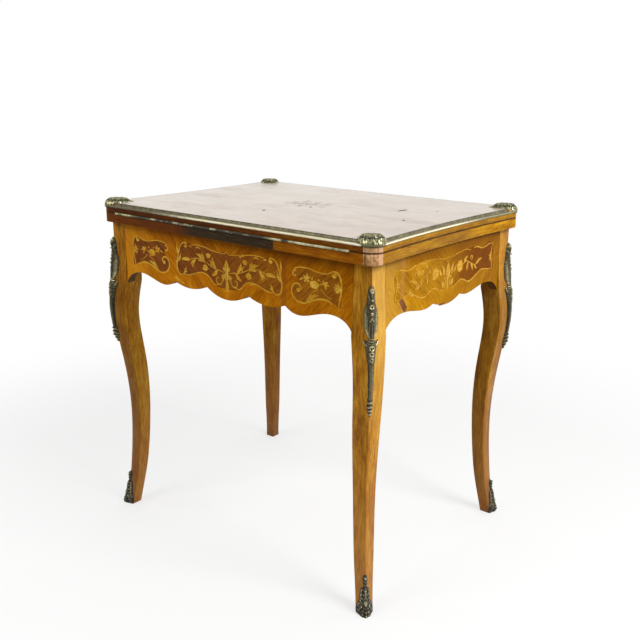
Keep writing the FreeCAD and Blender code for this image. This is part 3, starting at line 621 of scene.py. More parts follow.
MATERIAL = {
    "leg": upright_wood("leg walnut", HONEY, True),
    "apron_x": apron_veneer("apron veneer front", False),
    "apron_y": apron_veneer("apron veneer end", True),
    "ground": ground_veneer("panel ground"),
    "ground_end": end_ground_veneer("panel ground end"),
    "inlay": inlay_wood("inlay", PALE),
    "inlay_end": inlay_wood("worn inlay", STRAW, 0.34),
    "repair": upright_wood("brown repair", BISTRE),
    "splinter": upright_wood("pale splinter", PALE),
    "edge_x": edge_wood("leaf edge long", "x"),
    "edge_y": edge_wood("leaf edge end", "y"),
    "edge_corner": edge_wood("leaf edge corner", "z"),
    "top": top_wood("top veneer"),
    "top_inlay": worn_inlay("top marquetry"),
    "chip": chipped("chipped veneer"),
    "border": bare_wood("inner border", "x"),
    "bronze": bronze("patinated bronze", (24, 20, 12), (82, 74, 48), (162, 152, 110), (222, 214, 176)),
    "shoe": bronze("dark bronze", (26, 23, 16), (74, 67, 48), (134, 126, 96), (196, 190, 156)),
    "cap": bronze("rubbed bronze", (30, 28, 18), (88, 84, 58), (170, 166, 122), (226, 222, 180)),
    "brass": edge_brass("edge brass"),
    "hinge": hinge_metal("hinge brass"),
    "iron": iron("black iron"),
    "felt": felt("green baize"),
    "carcass_x": bare_wood("carcass long", "x"),
    "carcass_y": bare_wood("carcass cross", "y"),
}


# Pieces

WELD, CAD_WELD = 1e-7, 2e-6
FLAT, ARRIS = math.radians(0.5), math.radians(50)
LARGE_FACE = 0.002
LEVEL = 0.7
EDGE_X, EDGE_Y, EDGE_CORNER, UPPER_FACE, INNER_FACE = range(5)


def piece(name, bm, body, slot, materials, angle=35.0):
    """Visible piece on its body, with the edges that are sharper than the angle left crisp."""
    mesh = bpy.data.meshes.new(name)
    bm.to_mesh(mesh)
    bm.free()
    old = mesh.attributes.get("custom_normal")
    if old:
        mesh.attributes.remove(old)
    for material in materials:
        mesh.materials.append(material)
    mesh.shade_smooth()
    mesh.set_sharp_from_angle(angle=math.radians(angle))
    for polygon in mesh.polygons:
        polygon.use_smooth = polygon.area < LARGE_FACE
    obj = bpy.data.objects.new(name, mesh)
    bpy.context.scene.collection.objects.link(obj)
    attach(obj, body)
    return obj


def paint(node, material):
    mesh = NODES[node].data
    mesh.materials.clear()
    mesh.materials.append(material)


def softened(node, materials, width, choose=None):
    """Copy of a CAD node with its doubled points merged and its arrises eased, in place of the node."""
    bm = bmesh.new()
    bm.from_mesh(NODES[node].data)
    bmesh.ops.remove_doubles(bm, verts=bm.verts, dist=CAD_WELD)
    bmesh.ops.dissolve_limit(bm, angle_limit=FLAT, verts=bm.verts, edges=bm.edges, delimit={"NORMAL"})
    sharp = [e for e in bm.edges if len(e.link_faces) == 2 and e.calc_face_angle() > ARRIS]
    bmesh.ops.bevel(bm, geom=sharp, offset=width * MM, offset_type="OFFSET", segments=2, profile=0.5,
                    affect="EDGES", clamp_overlap=True, material=-1)
    bm.normal_update()
    for f in bm.faces:
        f.material_index = choose(f.normal, f.calc_center_median() / MM) if choose else 0
    obj = piece(node + "_soft", bm, BODY_OF[node], SLOT_OF[node], materials)
    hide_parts(node)


def leaf_choice(upper):
    """Which wood a face of a leaf shows, by its normal and its middle."""
    def choose(n, c):
        if n.z > LEVEL:
            return UPPER_FACE if upper else INNER_FACE
        if n.z < -LEVEL:
            return INNER_FACE
        if abs(c.x) > TOP_X - CORNER_R - 1 and abs(c.y) > TOP_Y - CORNER_R - 1:
            return EDGE_CORNER
        return EDGE_X if abs(n.y) > abs(n.x) else EDGE_Y
    return choose


def build_wood():
    for place in CORNERS:
        softened("leg_" + place, [MATERIAL["leg"]], LEG_EASE)
    for side, run in (("front", "x"), ("back", "x"), ("left", "y"), ("right", "y")):
        softened("apron_" + side, [MATERIAL["apron_" + run]], APRON_EASE)
    leaf = [MATERIAL[k] for k in ("edge_x", "edge_y", "edge_corner", "top", "border")]
    softened("upper_leaf", leaf, LEAF_EASE, leaf_choice(True))
    softened("lower_leaf", leaf, LEAF_EASE, leaf_choice(False))


# Marquetry

STROKE = 0.68
POINT = 0.02
SAME_POINT = 1e-6
LEAF_STEPS, DISC_STEPS, CURL_STEPS = 14, 10, 12


def bend(points, count):
    """Points of a smooth curve through the given ones."""
    ends = [points[0], *points, points[-1]]
    out = []
    for i in range(len(points) - 1):
        p0, p1, p2, p3 = (Vector(p) for p in ends[i:i + 4])
        steps = max(2, count // (len(points) - 1))
        for k in range(steps):
            t = k / steps
            out.append(0.5 * (2 * p1 + (p2 - p0) * t + (2 * p0 - 5 * p1 + 4 * p2 - p3) * t * t
                              + (3 * p1 - p0 - 3 * p2 + p3) * t ** 3))
    return out + [Vector(points[-1])]


class Inlay:
    """Thin veneer pieces drawn on a flat face: u along it and v up, both in millimetres."""

    def __init__(self, place):
        self.bm = bmesh.new()
        self.uv = self.bm.loops.layers.uv.new("UVMap")
        self.place = place
        self.lift = INLAY_LIFT
        self.sign = 1

    def strip(self, spine, widths):
        """Band along a spine of points, with a half width to the left and right at each."""
        self.lift += INLAY_STEP
        rows = []
        for i, p in enumerate(spine):
            a, b = spine[max(i - 1, 0)], spine[min(i + 1, len(spine) - 1)]
            d = (b - a).normalized() if (b - a).length > SAME_POINT else Vector((1, 0))
            n = Vector((-d.y, d.x))
            left, right = widths[i]
            ends = (p + n * left, p, p - n * right)
            rows.append([self.bm.verts.new(self.place(self.sign * q.x, q.y, self.lift)) for q in ends])
        last = len(rows) - 1
        for i in range(last):
            for k in (0, 1):
                corners = [(i, k), (i + 1, k), (i + 1, k + 1), (i, k + 1)]
                if self.sign > 0:
                    corners.reverse()
                f = self.bm.faces.new([rows[r][c] for r, c in corners])
                for loop, (r, c) in zip(f.loops, corners):
                    loop[self.uv].uv = (r / last, c / 2)

    def band(self, spine, half):
        """Strip that is alike on both sides of its spine: half(t) wide at the share t of its points."""
        last = len(spine) - 1
        self.strip(spine, [(half(i / last),) * 2 for i in range(last + 1)])

    def scroll(self, points, start, end, middle=None, count=40):
        """Band along a curve, with its width at the start, the end and the middle."""
        middle = max(start, end) if middle is None else middle

        def half(t):
            w = start + (middle - start) * smooth(0, 0.5, t) + (end - middle) * smooth(0.5, 1, t)
            return w * STROKE
        self.band(bend(points, count), half)

    def curl(self, centre, r0, r1, a0, a1, w0, w1):
        """Spiral band about a centre, from one radius and angle in degrees to another."""
        points = []
        for i in range(CURL_STEPS + 1):
            t = i / CURL_STEPS
            a, r = math.radians(a0 + (a1 - a0) * t), r0 + (r1 - r0) * t
            points.append((centre[0] + r * math.cos(a), centre[1] + r * math.sin(a)))
        self.scroll(points, w0, w1, (w0 + w1) / 2, 36)

    def leaf(self, base, tip, width, sway=0.0, lobes=0):
        """Leaf from its base to its tip; sway bends it and lobes cut its edge."""
        a, b = Vector(base), Vector(tip)
        side = Vector((-(b - a).y, (b - a).x))

        def half(t):
            w = width / 2 * math.sin(math.pi * t ** 0.75) ** 0.9 if 0 < t < 1 else POINT
            return w * (0.72 + 0.28 * abs(math.cos(math.pi * lobes * t))) if lobes else w
        self.band(bend([a, a.lerp(b, 0.5) + side * sway, b], LEAF_STEPS), half)

    def disc(self, centre, radius, squash=1.0):
        c = Vector(centre)
        turns = [math.pi * (1 - i / DISC_STEPS) for i in range(DISC_STEPS + 1)]
        spine = [c + Vector((radius * math.cos(a), 0)) for a in turns]
        self.band(spine, lambda t: max(POINT, radius * squash * math.sin(math.pi * t)))

    def flower(self, centre, radius, petals=6, squash=1.0, turn=0.0):
        c = Vector(centre)
        for i in range(petals):
            a = math.radians(turn) + 2 * math.pi * i / petals
            d = Vector((math.cos(a), squash * math.sin(a)))
            self.leaf(c + d * radius * 0.15, c + d * radius, radius * 0.95)
        self.disc(centre, radius * 0.24, squash)

    def spray(self, base, tips, width, lobes=0):
        for tip in tips:
            self.leaf(base, tip, width, 0.08, lobes)

    def done(self, name, body, slot, material="inlay"):
        bm = self.bm
        bm.normal_update()
        bmesh.ops.solidify(bm, geom=bm.faces[:], thickness=INLAY_THICK * MM)
        piece(name, bm, body, slot, [MATERIAL[material]], angle=60.0)


def draw_centre(ink):
    """Middle panel of a long side: leaves and flowers on two branches that rise from a palmette."""
    for ink.sign in (1, -1):
        ink.scroll([(0, 691), (7, 685.5), (20, 686), (45, 688.5), (62, 692), (85, 693.5), (106, 692)],
                   0.8, 1.3)
        ink.curl((124, 688), 2.2, 6.4, 330, 80, 3.0, 2.2)
        ink.scroll([(124, 694.5), (133, 692), (141, 683), (146, 670), (150, 656), (152.5, 643), (150, 630),
                    (143, 623), (135, 623), (129, 629), (126, 637)], 1.6, 1.2, 3.0, 60)
        ink.disc((124.5, 687.5), 3.0)
        ink.leaf((146, 664), (149, 693), 4.6, -0.08)
        ink.leaf((149, 650), (140, 669), 5.2, 0.12)
        ink.leaf((128, 630), (123, 642), 3.6, 0.1)
        ink.leaf((131, 626), (119, 632), 3.4, -0.1)
        ink.scroll([(131, 625), (116, 624.5), (100, 629), (85, 634), (70, 636), (58, 633), (50, 628),
                    (42, 620), (34, 616), (22, 618)], 2.0, 1.4, 2.2, 50)
        ink.scroll([(8, 646), (18, 648.5), (32, 650), (48, 655), (64, 662), (80, 665.5), (98, 664),
                    (112, 659)], 1.2, 1.0, 1.6, 50)
        ink.leaf((110, 659.5), (137, 657), 8.0, 0.05)
        ink.leaf((31, 651), (42, 673), 9.0, -0.1, 2)
        ink.leaf((27, 650), (44, 634), 9.0, -0.1, 2)
        ink.leaf((44, 654), (52, 668), 3.4, 0.15)
        ink.flower((53, 675.5), 7.5, 5, 0.72, 20)
        ink.flower((63, 648), 9.0, 5, 0.8, 50)
        ink.spray((66, 662), ((74, 679), (82, 676.5), (91, 675), (85, 661)), 6.5, 2)
        ink.scroll([(70, 664), (64, 657), (63, 650)], 1.0, 0.8, 1.0, 12)
        ink.leaf((92, 664), (102, 644), 6.2, 0.12)
        ink.leaf((97, 661), (107, 649), 3.4, 0.1)
        ink.leaf((84, 690), (77, 686), 3.8)
        ink.leaf((84, 690), (92, 687), 3.8)
        ink.leaf((112, 690), (104, 686), 3.4)
        ink.curl((24, 628), 13.0, 4.0, 130, 450, 1.4, 2.0)
        ink.scroll([(4, 643), (9, 641), (15.6, 638)], 2.0, 1.4)
        ink.leaf((4, 643), (11, 626), 7.0, 0.12)
        ink.leaf((1, 650), (9, 658), 6.0, -0.16)
    ink.sign = 1
    ink.leaf((37, 684), (55, 690), 5.6, 0.08)
    ink.leaf((64, 631), (86, 634), 5.6, 0.08)
    ink.leaf((1, 606), (1, 634), 11.0, 0.0, 3)
    ink.leaf((0, 626), (0, 660), 11.0)
    ink.leaf((0, 648), (0, 673), 15.0, 0.0, 2)


def draw_small(ink, sign):
    """Left or right panel of a long side: a flower with two twigs in a border of scrolls."""
    ink.sign = sign
    ink.curl((186, 673), 6.5, 3.0, 60, 330, 1.6, 2.6)
    ink.scroll([(181.5, 674), (185, 682), (194, 686.5), (208, 688), (222, 687.5), (240, 684), (256, 682.5),
                (268, 684.5), (276, 689)], 1.6, 1.6, 1.8, 50)
    ink.scroll([(274, 687), (281, 690.5), (290, 688.5), (296, 681), (299, 669), (299, 655), (296.5, 640),
                (293.5, 628), (294, 621), (300, 619)], 1.8, 1.2, 3.0, 60)
    ink.curl((281, 683), 7.4, 2.6, 120, -200, 1.8, 2.4)
    ink.disc((281, 682.5), 4.4, 0.9)
    ink.spray((297, 657), ((282, 655), (281, 661), (284, 667), (290, 671), (285, 650)), 4.6)
    ink.scroll([(197, 641), (200, 647), (195, 653.5), (186, 653), (179, 646), (177.5, 635), (182, 626),
                (191, 620), (203, 617.5), (216, 620), (228, 625), (240, 630), (254, 633), (268, 632),
                (279, 626)], 2.6, 3.6, 2.4, 80)
    ink.disc((194.5, 642), 4.6)
    ink.spray((214, 620), ((231, 637), (240, 641), (246, 639)), 5.4, 2)
    ink.leaf((219, 622), (238, 629), 4.4, 0.08)
    ink.flower((234.5, 658), 12.0, 7, 0.62, 10)
    ink.disc((245, 669), 2.4)
    ink.disc((229, 669), 2.0)
    ink.scroll([(227, 660), (216, 666), (203, 666.5)], 1.0, 0.8)
    ink.spray((215, 667), ((207, 673), (218, 678), (225, 672), (221, 660), (209, 660)), 4.2)
    ink.leaf((206, 667), (197, 662), 3.6)
    ink.scroll([(247, 660), (258, 662), (268, 661)], 1.0, 0.8)
    ink.spray((259, 662), ((268, 668), (272, 660), (264, 652), (256, 669)), 4.2)
    ink.scroll([(245, 650), (232, 643), (222, 634)], 1.0, 1.0)
    ink.scroll([(250, 652), (265, 640), (276, 637)], 1.0, 0.8)


def draw_end(ink):
    """End panel: a border of scrolls around two branches that spread from a leaf in the middle."""
    for ink.sign in (1, -1):
        ink.scroll([(0, 689), (10, 685), (28, 688), (52, 691), (76, 692), (92, 688)], 0.8, 1.0)
        ink.scroll([(106, 691), (122, 691), (140, 686), (158, 686), (176, 690), (190, 689)], 1.2, 1.0, 2.2)
        ink.scroll([(192, 690), (188, 676), (187, 660), (190, 644), (192, 632)], 1.2, 1.2, 3.0)
        ink.spray((188, 660), ((176, 656), (176, 664), (181, 671), (180, 649)), 4.4)
        ink.scroll([(192, 632), (176, 633), (158, 636), (140, 637), (126, 631), (112, 625), (98, 621),
                    (84, 621), (70, 627), (56, 631), (42, 628), (28, 622), (14, 620)], 1.2, 1.2, 2.2, 60)
        ink.curl((17, 635), 10.0, 3.5, 100, 430, 1.8, 2.8)
        ink.disc((18, 635), 4.2)
        ink.scroll([(2, 646), (8, 646), (15, 645)], 2.4, 1.8)
        ink.leaf((14, 650), (24, 674), 9.0, 0.1, 2)
        ink.leaf((23, 653), (33, 667), 6.0, -0.1)
        ink.flower((49, 660), 14.0, 7, 0.95, 12)
        ink.scroll([(60, 662), (76, 667), (94, 660), (114, 653), (132, 657)], 1.4, 1.0)
        ink.leaf((66, 664), (80, 678), 7.4, 0.1, 2)
        ink.curl((97, 671), 5.4, 2.4, -90, 230, 1.6, 2.2)
        ink.leaf((84, 664), (80, 645), 6.8, -0.1)
        ink.leaf((96, 659), (104, 641), 6.8, 0.1)
        ink.leaf((118, 654), (144, 663), 7.6, 0.08, 2)
        ink.leaf((112, 653), (124, 643), 5.6, -0.1)
    ink.scroll([(124, 670), (120, 682), (108, 690), (90, 689), (84, 684)], 1.8, 1.4)
    ink.disc((83, 682), 3.6)
    ink.flower((112, 673), 7.4, 5, 0.9, 20)
    ink.flower((114, 646), 6.8, 5, 0.9, 40)
    ink.spray((148, 637), ((130, 631), (131, 640), (138, 648)), 4.6)
    ink.sign = 1
    ink.leaf((0, 640), (0, 676), 17.0)
    ink.scroll([(0, 645), (0, 632), (0, 621)], 5.0, 3.0)


def draw_repairs():
    """Two slips of brown wood let into the right apron, and a pale splinter on the front one."""
    ink = Inlay(FACES["right"])
    slip = [Vector(p) for p in ((-175, 633), (-164, 619), (-155, 607.5))]
    ink.strip(slip, [(7.5, 5.5), (7.5, 6.5), (7.5, 6)])
    ink.leaf((-32, 592), (-4, 591.5), 5.0, 0.0, 2)
    ink.done("repair_right", "frame", "apron_veneer", "repair")
    ink = Inlay(FACES["front"])
    splinter = [Vector(p) for p in ((-161, 615), (-148, 609), (-130, 602.5))]
    ink.strip(splinter, [(1.5, 3), (2.4, 2.6), (0.4, 0.4)])
    ink.done("splinter_front", "frame", "apron_veneer", "splinter")


def draw_top(ink):
    """Bouquet in the middle of the top."""
    for ink.sign in (1, -1):
        ink.scroll([(3, -30), (10, -18), (22, -10), (38, -8), (52, -12)], 1.4, 1.0)
        ink.curl((50, -20), 8.0, 2.6, 80, -220, 1.6, 2.4)
        ink.spray((24, -10), ((34, 4), (42, 0), (38, -20)), 5.6, 2)
        ink.flower((46, 8), 10.0, 6, 0.8, 15)
        ink.scroll([(3, -6), (14, 6), (28, 22), (34, 36)], 1.2, 0.8)
        ink.leaf((14, 6), (12, 24), 6.0, 0.1, 2)
        ink.leaf((24, 18), (38, 22), 5.6, -0.1)
        ink.flower((34, 38), 7.0, 5, 0.8, 40)
        ink.leaf((6, -26), (20, -32), 5.0, 0.1)
    ink.sign = 1
    ink.leaf((0, -44), (0, -8), 8.0)
    ink.flower((0, 4), 13.0, 8, 0.8, 10)
    ink.leaf((0, 14), (0, 44), 7.0, 0.0, 3)


# Lost slivers of veneer on the top: one end, the other end and the width
CHIPS = ((211, 44, 213, 79, 5), (212, 54, 216, 77, 9), (291, -54, 286, -42, 6), (277, 97, 277, 107, 3),
         (-11, -142, -19, -130, 7), (34, -38, 27, -26, 6), (-50, 0, -40, 8, 6), (-24, -14, -8, -3, 8),
         (-6, -2, 14, 16, 6), (-14, 2, -4, 8, 7), (24, 16, 38, 26, 5), (18, 0, 10, 12, 5),
         (-30, 14, -38, 26, 4))


def draw_chips():
    ink = Inlay(FACES["top"])
    for x0, y0, x1, y1, width in CHIPS:
        ink.leaf((x0, y0), (x1, y1), width, 0.06, 2)
    ink.done("top_chips", "upper_top", "top_veneer", "chip")


# Faces that carry inlay: u along the face, v up or back, h out of it
FACES = {
    "top": lambda u, v, h: Vector((u, v, TOP_Z + h)) * MM,
    "front": lambda u, v, h: Vector((u, -FRAME_Y - h, v)) * MM,
    "back": lambda u, v, h: Vector((-u, FRAME_Y + h, v)) * MM,
    "right": lambda u, v, h: Vector((FRAME_X + h, u, v)) * MM,
    "left": lambda u, v, h: Vector((-FRAME_X - h, -u, v)) * MM,
}


def build_marquetry():
    for side in ("front", "back"):
        ink = Inlay(FACES[side])
        draw_centre(ink)
        ink.done("inlay_" + side + "_centre", "frame", "panel_ground")
        for name, sign in (("left", -1), ("right", 1)):
            ink = Inlay(FACES[side])
            draw_small(ink, sign)
            ink.done("inlay_" + side + "_" + name, "frame", "panel_ground")
    for side in ("left", "right"):
        ink = Inlay(FACES[side])
        draw_end(ink)
        ink.done("inlay_" + side, "frame", "panel_ground", "inlay_end")
    draw_repairs()
    ink = Inlay(FACES["top"])
    draw_top(ink)
    ink.done("inlay_top", "upper_top", "top_veneer", "top_inlay")
    draw_chips()


# Bronze mounts of the legs

ARRIS_FIT, ARRIS_LEAST = 0.05, 354
DIAGONAL = math.sqrt(0.5)
SKIRT = 0.9
BAR_SHINE = 0.72


def arris_of(place):
    """Outer arris of a leg: how far it lies from the middle along X, by height, from the CAD node."""
    points = {}
    for v in NODES["leg_" + place].data.vertices:
        x, y, z = abs(v.co.x) / MM, abs(v.co.y) / MM, v.co.z / MM
        if abs(x - y - FRAME_X + FRAME_Y) < ARRIS_FIT and x > ARRIS_LEAST:
            points[round(z, 2)] = max(x, points.get(round(z, 2), 0))
    return sorted(points.items())


def straight(table, x):
    """Value of a table of (place, value) rows at x, in a straight line between the rows."""
    for (a, va), (b, vb) in zip(table, table[1:]):
        if x <= b:
            return va + (vb - va) * (x - a) / (b - a)
    return table[-1][1]


def wrap(place, table):
    """Place of a point on a mount: u across the arris, z up, depth out along the diagonal of the leg."""
    sx, sy = CORNERS[place]

    def at(u, z, depth):
        x = straight(table, z)
        out, side = depth * DIAGONAL, u * DIAGONAL
        return Vector((sx * (x + out - side), sy * (x - FRAME_X + FRAME_Y + out + side), z)) * MM
    return at


def cast(bm, at, z_top, length, half, crest, carve, grid, edge, bulge):
    """Relief over the arris: a grid raised to a crest and carved, with sides down to the leg."""
    relief = bm.verts.layers.float["relief"]
    made = bmesh.ops.create_grid(bm, x_segments=grid[0], y_segments=grid[1], size=1.0)
    for v in made["verts"]:
        s, t = v.co.x / SKIRT, (1 - v.co.y) / 2
        d = t * length
        w = along(half, d)
        edge_s = clamp(s, -1, 1)
        u = edge_s * w
        c = along(crest, d)
        depth = c + (edge - w - c) * abs(edge_s) ** bulge(d)
        cut = carve(u, edge_s, d) + 0.8 * noise.noise((u * 0.42, d * 0.42, 3.0))
        cut += 0.5 * noise.noise((u, d, 5.0))
        v[relief] = clamp(0.36 + cut * 0.3 - 0.3 * abs(edge_s) ** 4)
        depth += cut * (1 - abs(edge_s) ** 6)
        if abs(s) > 1:
            depth = -w - 0.4
            v[relief] = 0.0
        v.co = at(u, z_top - d, depth)


# Half width and height of the mounts' relief, by the distance from their upper end
KNEE_HALF = ((0, 1.0), (5, 4.2), (12, 6.4), (22, 7.4), (34, 8.2), (40, 9.4), (46, 11.8), (54, 12.8),
             (68, 13.0), (80, 12.2), (88, 9.8), (95, 6.4), (98, 5.4), (101.5, 5.2), (104.5, 8.8),
             (107.5, 13.0), (110, 12.8), (115, 11.0), (124, 9.2), (136, 8.0), (150, 6.0), (182, 5.0),
             (213, 4.2), (218, 5.6), (224, 4.4), (232, 5.8), (243, 4.0), (254, 0.6))
KNEE_CREST = ((0, 2.6), (8, 7.6), (16, 8.0), (26, 6.8), (50, 7.6), (72, 7.8), (92, 6.8), (100, 7.4),
              (112, 9.0), (128, 8.2), (150, 6.8), (213, 5.8), (222, 7.2), (234, 8.4), (248, 4.6), (254, 2.0))
KNEE_GRID, KNEE_EDGE, KNEE_BULGE = (36, 340), 1.6, 1.7
KNEE_RIM, RIM_PLACES = 0.9, range(36, 99, 2)
EAR_CURL = ((8.4, 113), (11.0, 109.4), (13.2, 106.6), (14.0, 105.0), (13.7, 103.4), (12.8, 103.6))
SABOT_HALF = ((0, 0.8), (3, 3.4), (9, 5.2), (17, 4.6), (24, 2.9), (28, 4.8), (32, 8.4), (40, 9.8), (50, 10.4),
              (57, 11.6), (63, 14.0), (69, 16.6), (76, 17.6), (84, 17.6))
SABOT_CREST = ((0, 2.4), (7, 6.4), (17, 5.4), (24, 3.6), (30, 4.8), (40, 5.6), (52, 6.2), (62, 6.8),
               (69, 7.6), (76, 8.6), (84, 8.0))
SABOT_GRID, SABOT_EDGE = (48, 170), 2.2


def segment_gap(u, d, a, b):
    """Distance of the point (u, d) from the line between a and b."""
    p, a, b = Vector((u, d)), Vector(a), Vector(b)
    t = clamp((p - a).dot(b - a) / (b - a).length_squared)
    return (p - a.lerp(b, t)).length


def knee_carving(u, s, d):
    """Carving of a knee mount: bud, bordered body, collar, ears with three bosses, stem and tip."""
    a = abs(s)
    cut = 0.35 * (1 - smooth(96, 110, d))
    if d < 34:
        bud = 1 - smooth(24, 34, d)
        eye = 1.5 * bump_at(math.hypot(u * 0.9, d - 9) - 2.6, 1.3)
        cut += bud * (eye - 1.1 * bump_at(u, 1.1) * smooth(12, 18, d))
        cut += bud * 1.1 * math.cos(math.atan2(u, 40 - d) * 22) * smooth(10, 16, d)
    if 24 < d < 104:
        body = within(d, 24, 34, 94, 104)
        low = smooth(42, 52, d)
        ragged = 1.0 + 0.7 * noise.noise((d * 0.22, s, 1.0))
        cut += body * (2.2 * ragged * low * bump_at(a - 0.84, 0.12) - 0.4 * (1 - smooth(0.5, 0.74, a)))
        cut += body * low * bump_at(a - 0.6, 0.08) * smooth(56, 64, d)
        cut += body * 0.8 * math.cos(d * 1.3 - a * 3) * smooth(0.86, 0.98, a) * low
        cut += 2.0 * bump_at(math.hypot(u, d - 39) - 3.2, 1.0)
        cut += 2.2 * math.sqrt(max(0.0, 1 - (math.hypot(u, d - 51.5) / 2.9) ** 2))
        for side in (-1, 1):
            cut += 2.0 * bump_at(segment_gap(u, d, (0, 59), (3.2 * side, 65)), 0.9)
        flute = 0.9 * wave(u, 4.0) * smooth(66, 72, d) * (1 - smooth(92, 98, d))
        cut += flute * (1 - smooth(0.42, 0.56, a))
    if 95 < d < 108:
        cut += 1.3 * wave(d - 98, 4.6) * smooth(95, 98, d) * (1 - smooth(103, 108, d))
    if 103 < d < 150:
        leaf = within(d, 103, 107, 142, 150)
        ear = smooth(5, 8, abs(u))
        cut += leaf * ear * 1.3 * wave(d - 107 + (abs(u) - 14) * 0.55, 4.4)
        for middle, radius in ((114, 4.0), (125.5, 3.6), (136, 3.0)):
            ring = math.hypot(u, d - middle)
            boss = 1.9 * bump_at(ring - radius, 1.1) + 1.2 * bump_at(ring, 1.4)
            cut += leaf * (boss - 0.5 * bump_at(ring - 2, 0.9))
        cut += leaf * (1 - ear) * 0.8 * wave(d + abs(u) * 1.4, 6.0) * smooth(3.6, 5.4, abs(u))
    if 142 < d < 222:
        stem = within(d, 142, 152, 210, 218)
        cut += stem * (0.7 * math.cos(s * math.pi) + 0.7 * bump_at(a - 0.5, 0.12))
    if d > 212:
        tip = smooth(212, 218, d)
        cut += tip * 1.5 * wave(d - 219 - abs(u), 8.5)
        cut += tip * 0.9 * bump_at(u, 1.0)
    return cut


def knee_rim_depth(d):
    """Depth of the bead that lines the body of a knee mount."""
    half, crest = along(KNEE_HALF, d), along(KNEE_CREST, d)
    return crest + (KNEE_EDGE - half - crest) * KNEE_RIM ** KNEE_BULGE + 0.5 * math.sin(d * 0.55) + 0.6


def sabot_carving(u, s, d):
    """Carving of a shoe: knob, pierced shield with a boss, two curls and a fanned foot."""
    knob = 1 - smooth(20, 25, d)
    cut = knob * (1.6 * bump_at(math.hypot(u, d - 6), 2.4) + 1.3 * wave(d - 5, 8.0)) - 0.6
    shield = within(d, 25, 29, 60, 66)
    cut += shield * (1.6 * bump_at(abs(s) - 0.84, 0.12) + 1.6 * bump_at(u, 1.3) * (1 - smooth(44, 50, d)))
    for side in (-1, 1):
        for u0, d0, r in ((4.4, 36, 1.8), (4.8, 45, 1.8), (6.0, 54, 1.7)):
            hole = math.hypot((u - side * u0) * 0.9, (d - d0) * 0.75)
            cut += shield * (1.2 * bump_at(hole - r - 1.3, 0.8) - 3.0 * bump_at(hole, r))
        curl = math.hypot(u - side * 11.0, d - 66)
        cut += 1.9 * bump_at(curl - 3.4, 1.0) + 1.4 * bump_at(curl, 1.2)
    boss = math.hypot(u / 3.2, (d - 56) / 6.5)
    cut += 2.4 * math.sqrt(max(0.0, 1 - boss ** 2))
    foot = smooth(61, 68, d)
    fan = math.atan2(u, d - 48) * 27 + 2 * noise.noise((u * 0.3, d * 0.3, 9.0))
    beside_curl = 1 - 0.5 * bump_at(math.hypot(abs(u) - 11.0, d - 66), 4.0)
    cut += foot * 1.1 * math.cos(fan) * beside_curl
    cut += foot * 0.8 * wave(d - 80 + 3 * noise.noise((u * 0.25, 0.0, 4.0)), 7.0)
    return cut


def tube(bm, points, radii):
    """Tapered round bar along a path, made as a bevelled curve."""
    curve = bpy.data.curves.new("bar", "CURVE")
    curve.dimensions = "3D"
    curve.bevel_depth = 1.0
    curve.bevel_resolution = 2
    curve.use_fill_caps = True
    path = curve.splines.new("POLY")
    path.points.add(len(points) - 1)
    for point, p, r in zip(path.points, points, radii):
        point.co = (*p, 1.0)
        point.radius = r
    obj = bpy.data.objects.new("bar", curve)
    mesh = bpy.data.meshes.new_from_object(obj)
    first = len(bm.verts)
    bm.from_mesh(mesh)
    bm.verts.ensure_lookup_table()
    relief = bm.verts.layers.float["relief"]
    for v in bm.verts[first:]:
        v[relief] = BAR_SHINE
    bpy.data.objects.remove(obj)
    bpy.data.meshes.remove(mesh)
    bpy.data.curves.remove(curve)


def new_casting():
    bm = bmesh.new()
    bm.verts.layers.float.new("relief")
    return bm


def finish_casting(bm, name, node, body, material):
    bmesh.ops.remove_doubles(bm, verts=bm.verts, dist=WELD)
    bmesh.ops.recalc_face_normals(bm, faces=bm.faces)
    obj = piece(name, bm, body, "gilt_bronze", [MATERIAL[material]], angle=50.0)
    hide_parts(node)


def build_leg_mounts():
    """Knee mount with two curled ears and a beaded rim, and shoe, on each leg."""
    curl = bend(EAR_CURL, 30)
    for place in CORNERS:
        at = wrap(place, arris_of(place))
        bm = new_casting()
        cast(bm, at, KNEE_TOP, KNEE_LENGTH, KNEE_HALF, KNEE_CREST, knee_carving, KNEE_GRID, KNEE_EDGE,
             lambda d: KNEE_BULGE)
        for side in (-1, 1):
            ear = [at(side * p.x, KNEE_TOP - p.y, 2.6 - p.x * 0.92) for p in curl]
            n = len(ear) - 1
            tube(bm, ear, [MM * (2.2 - 1.2 * i / n) for i in range(n + 1)])
            rim = []
            for d in RIM_PLACES:
                rim.append(at(side * along(KNEE_HALF, d) * KNEE_RIM, KNEE_TOP - d, knee_rim_depth(d)))
            n = len(rim) - 1
            tube(bm, rim, [MM * (0.5 + 0.8 * math.sin(math.pi * i / n)) for i in range(n + 1)])
        finish_casting(bm, "knee_bronze_" + place, "knee_mount_" + place, "frame", "bronze")
        bm = new_casting()
        cast(bm, at, SABOT_TOP, SABOT_TOP, SABOT_HALF, SABOT_CREST, sabot_carving, SABOT_GRID, SABOT_EDGE,
             lambda d: 1.35 + 0.5 * smooth(60, 76, d))
        finish_casting(bm, "sabot_bronze_" + place, "sabot_" + place, "frame", "shoe")


# Top: corner caps, moulding and cloth

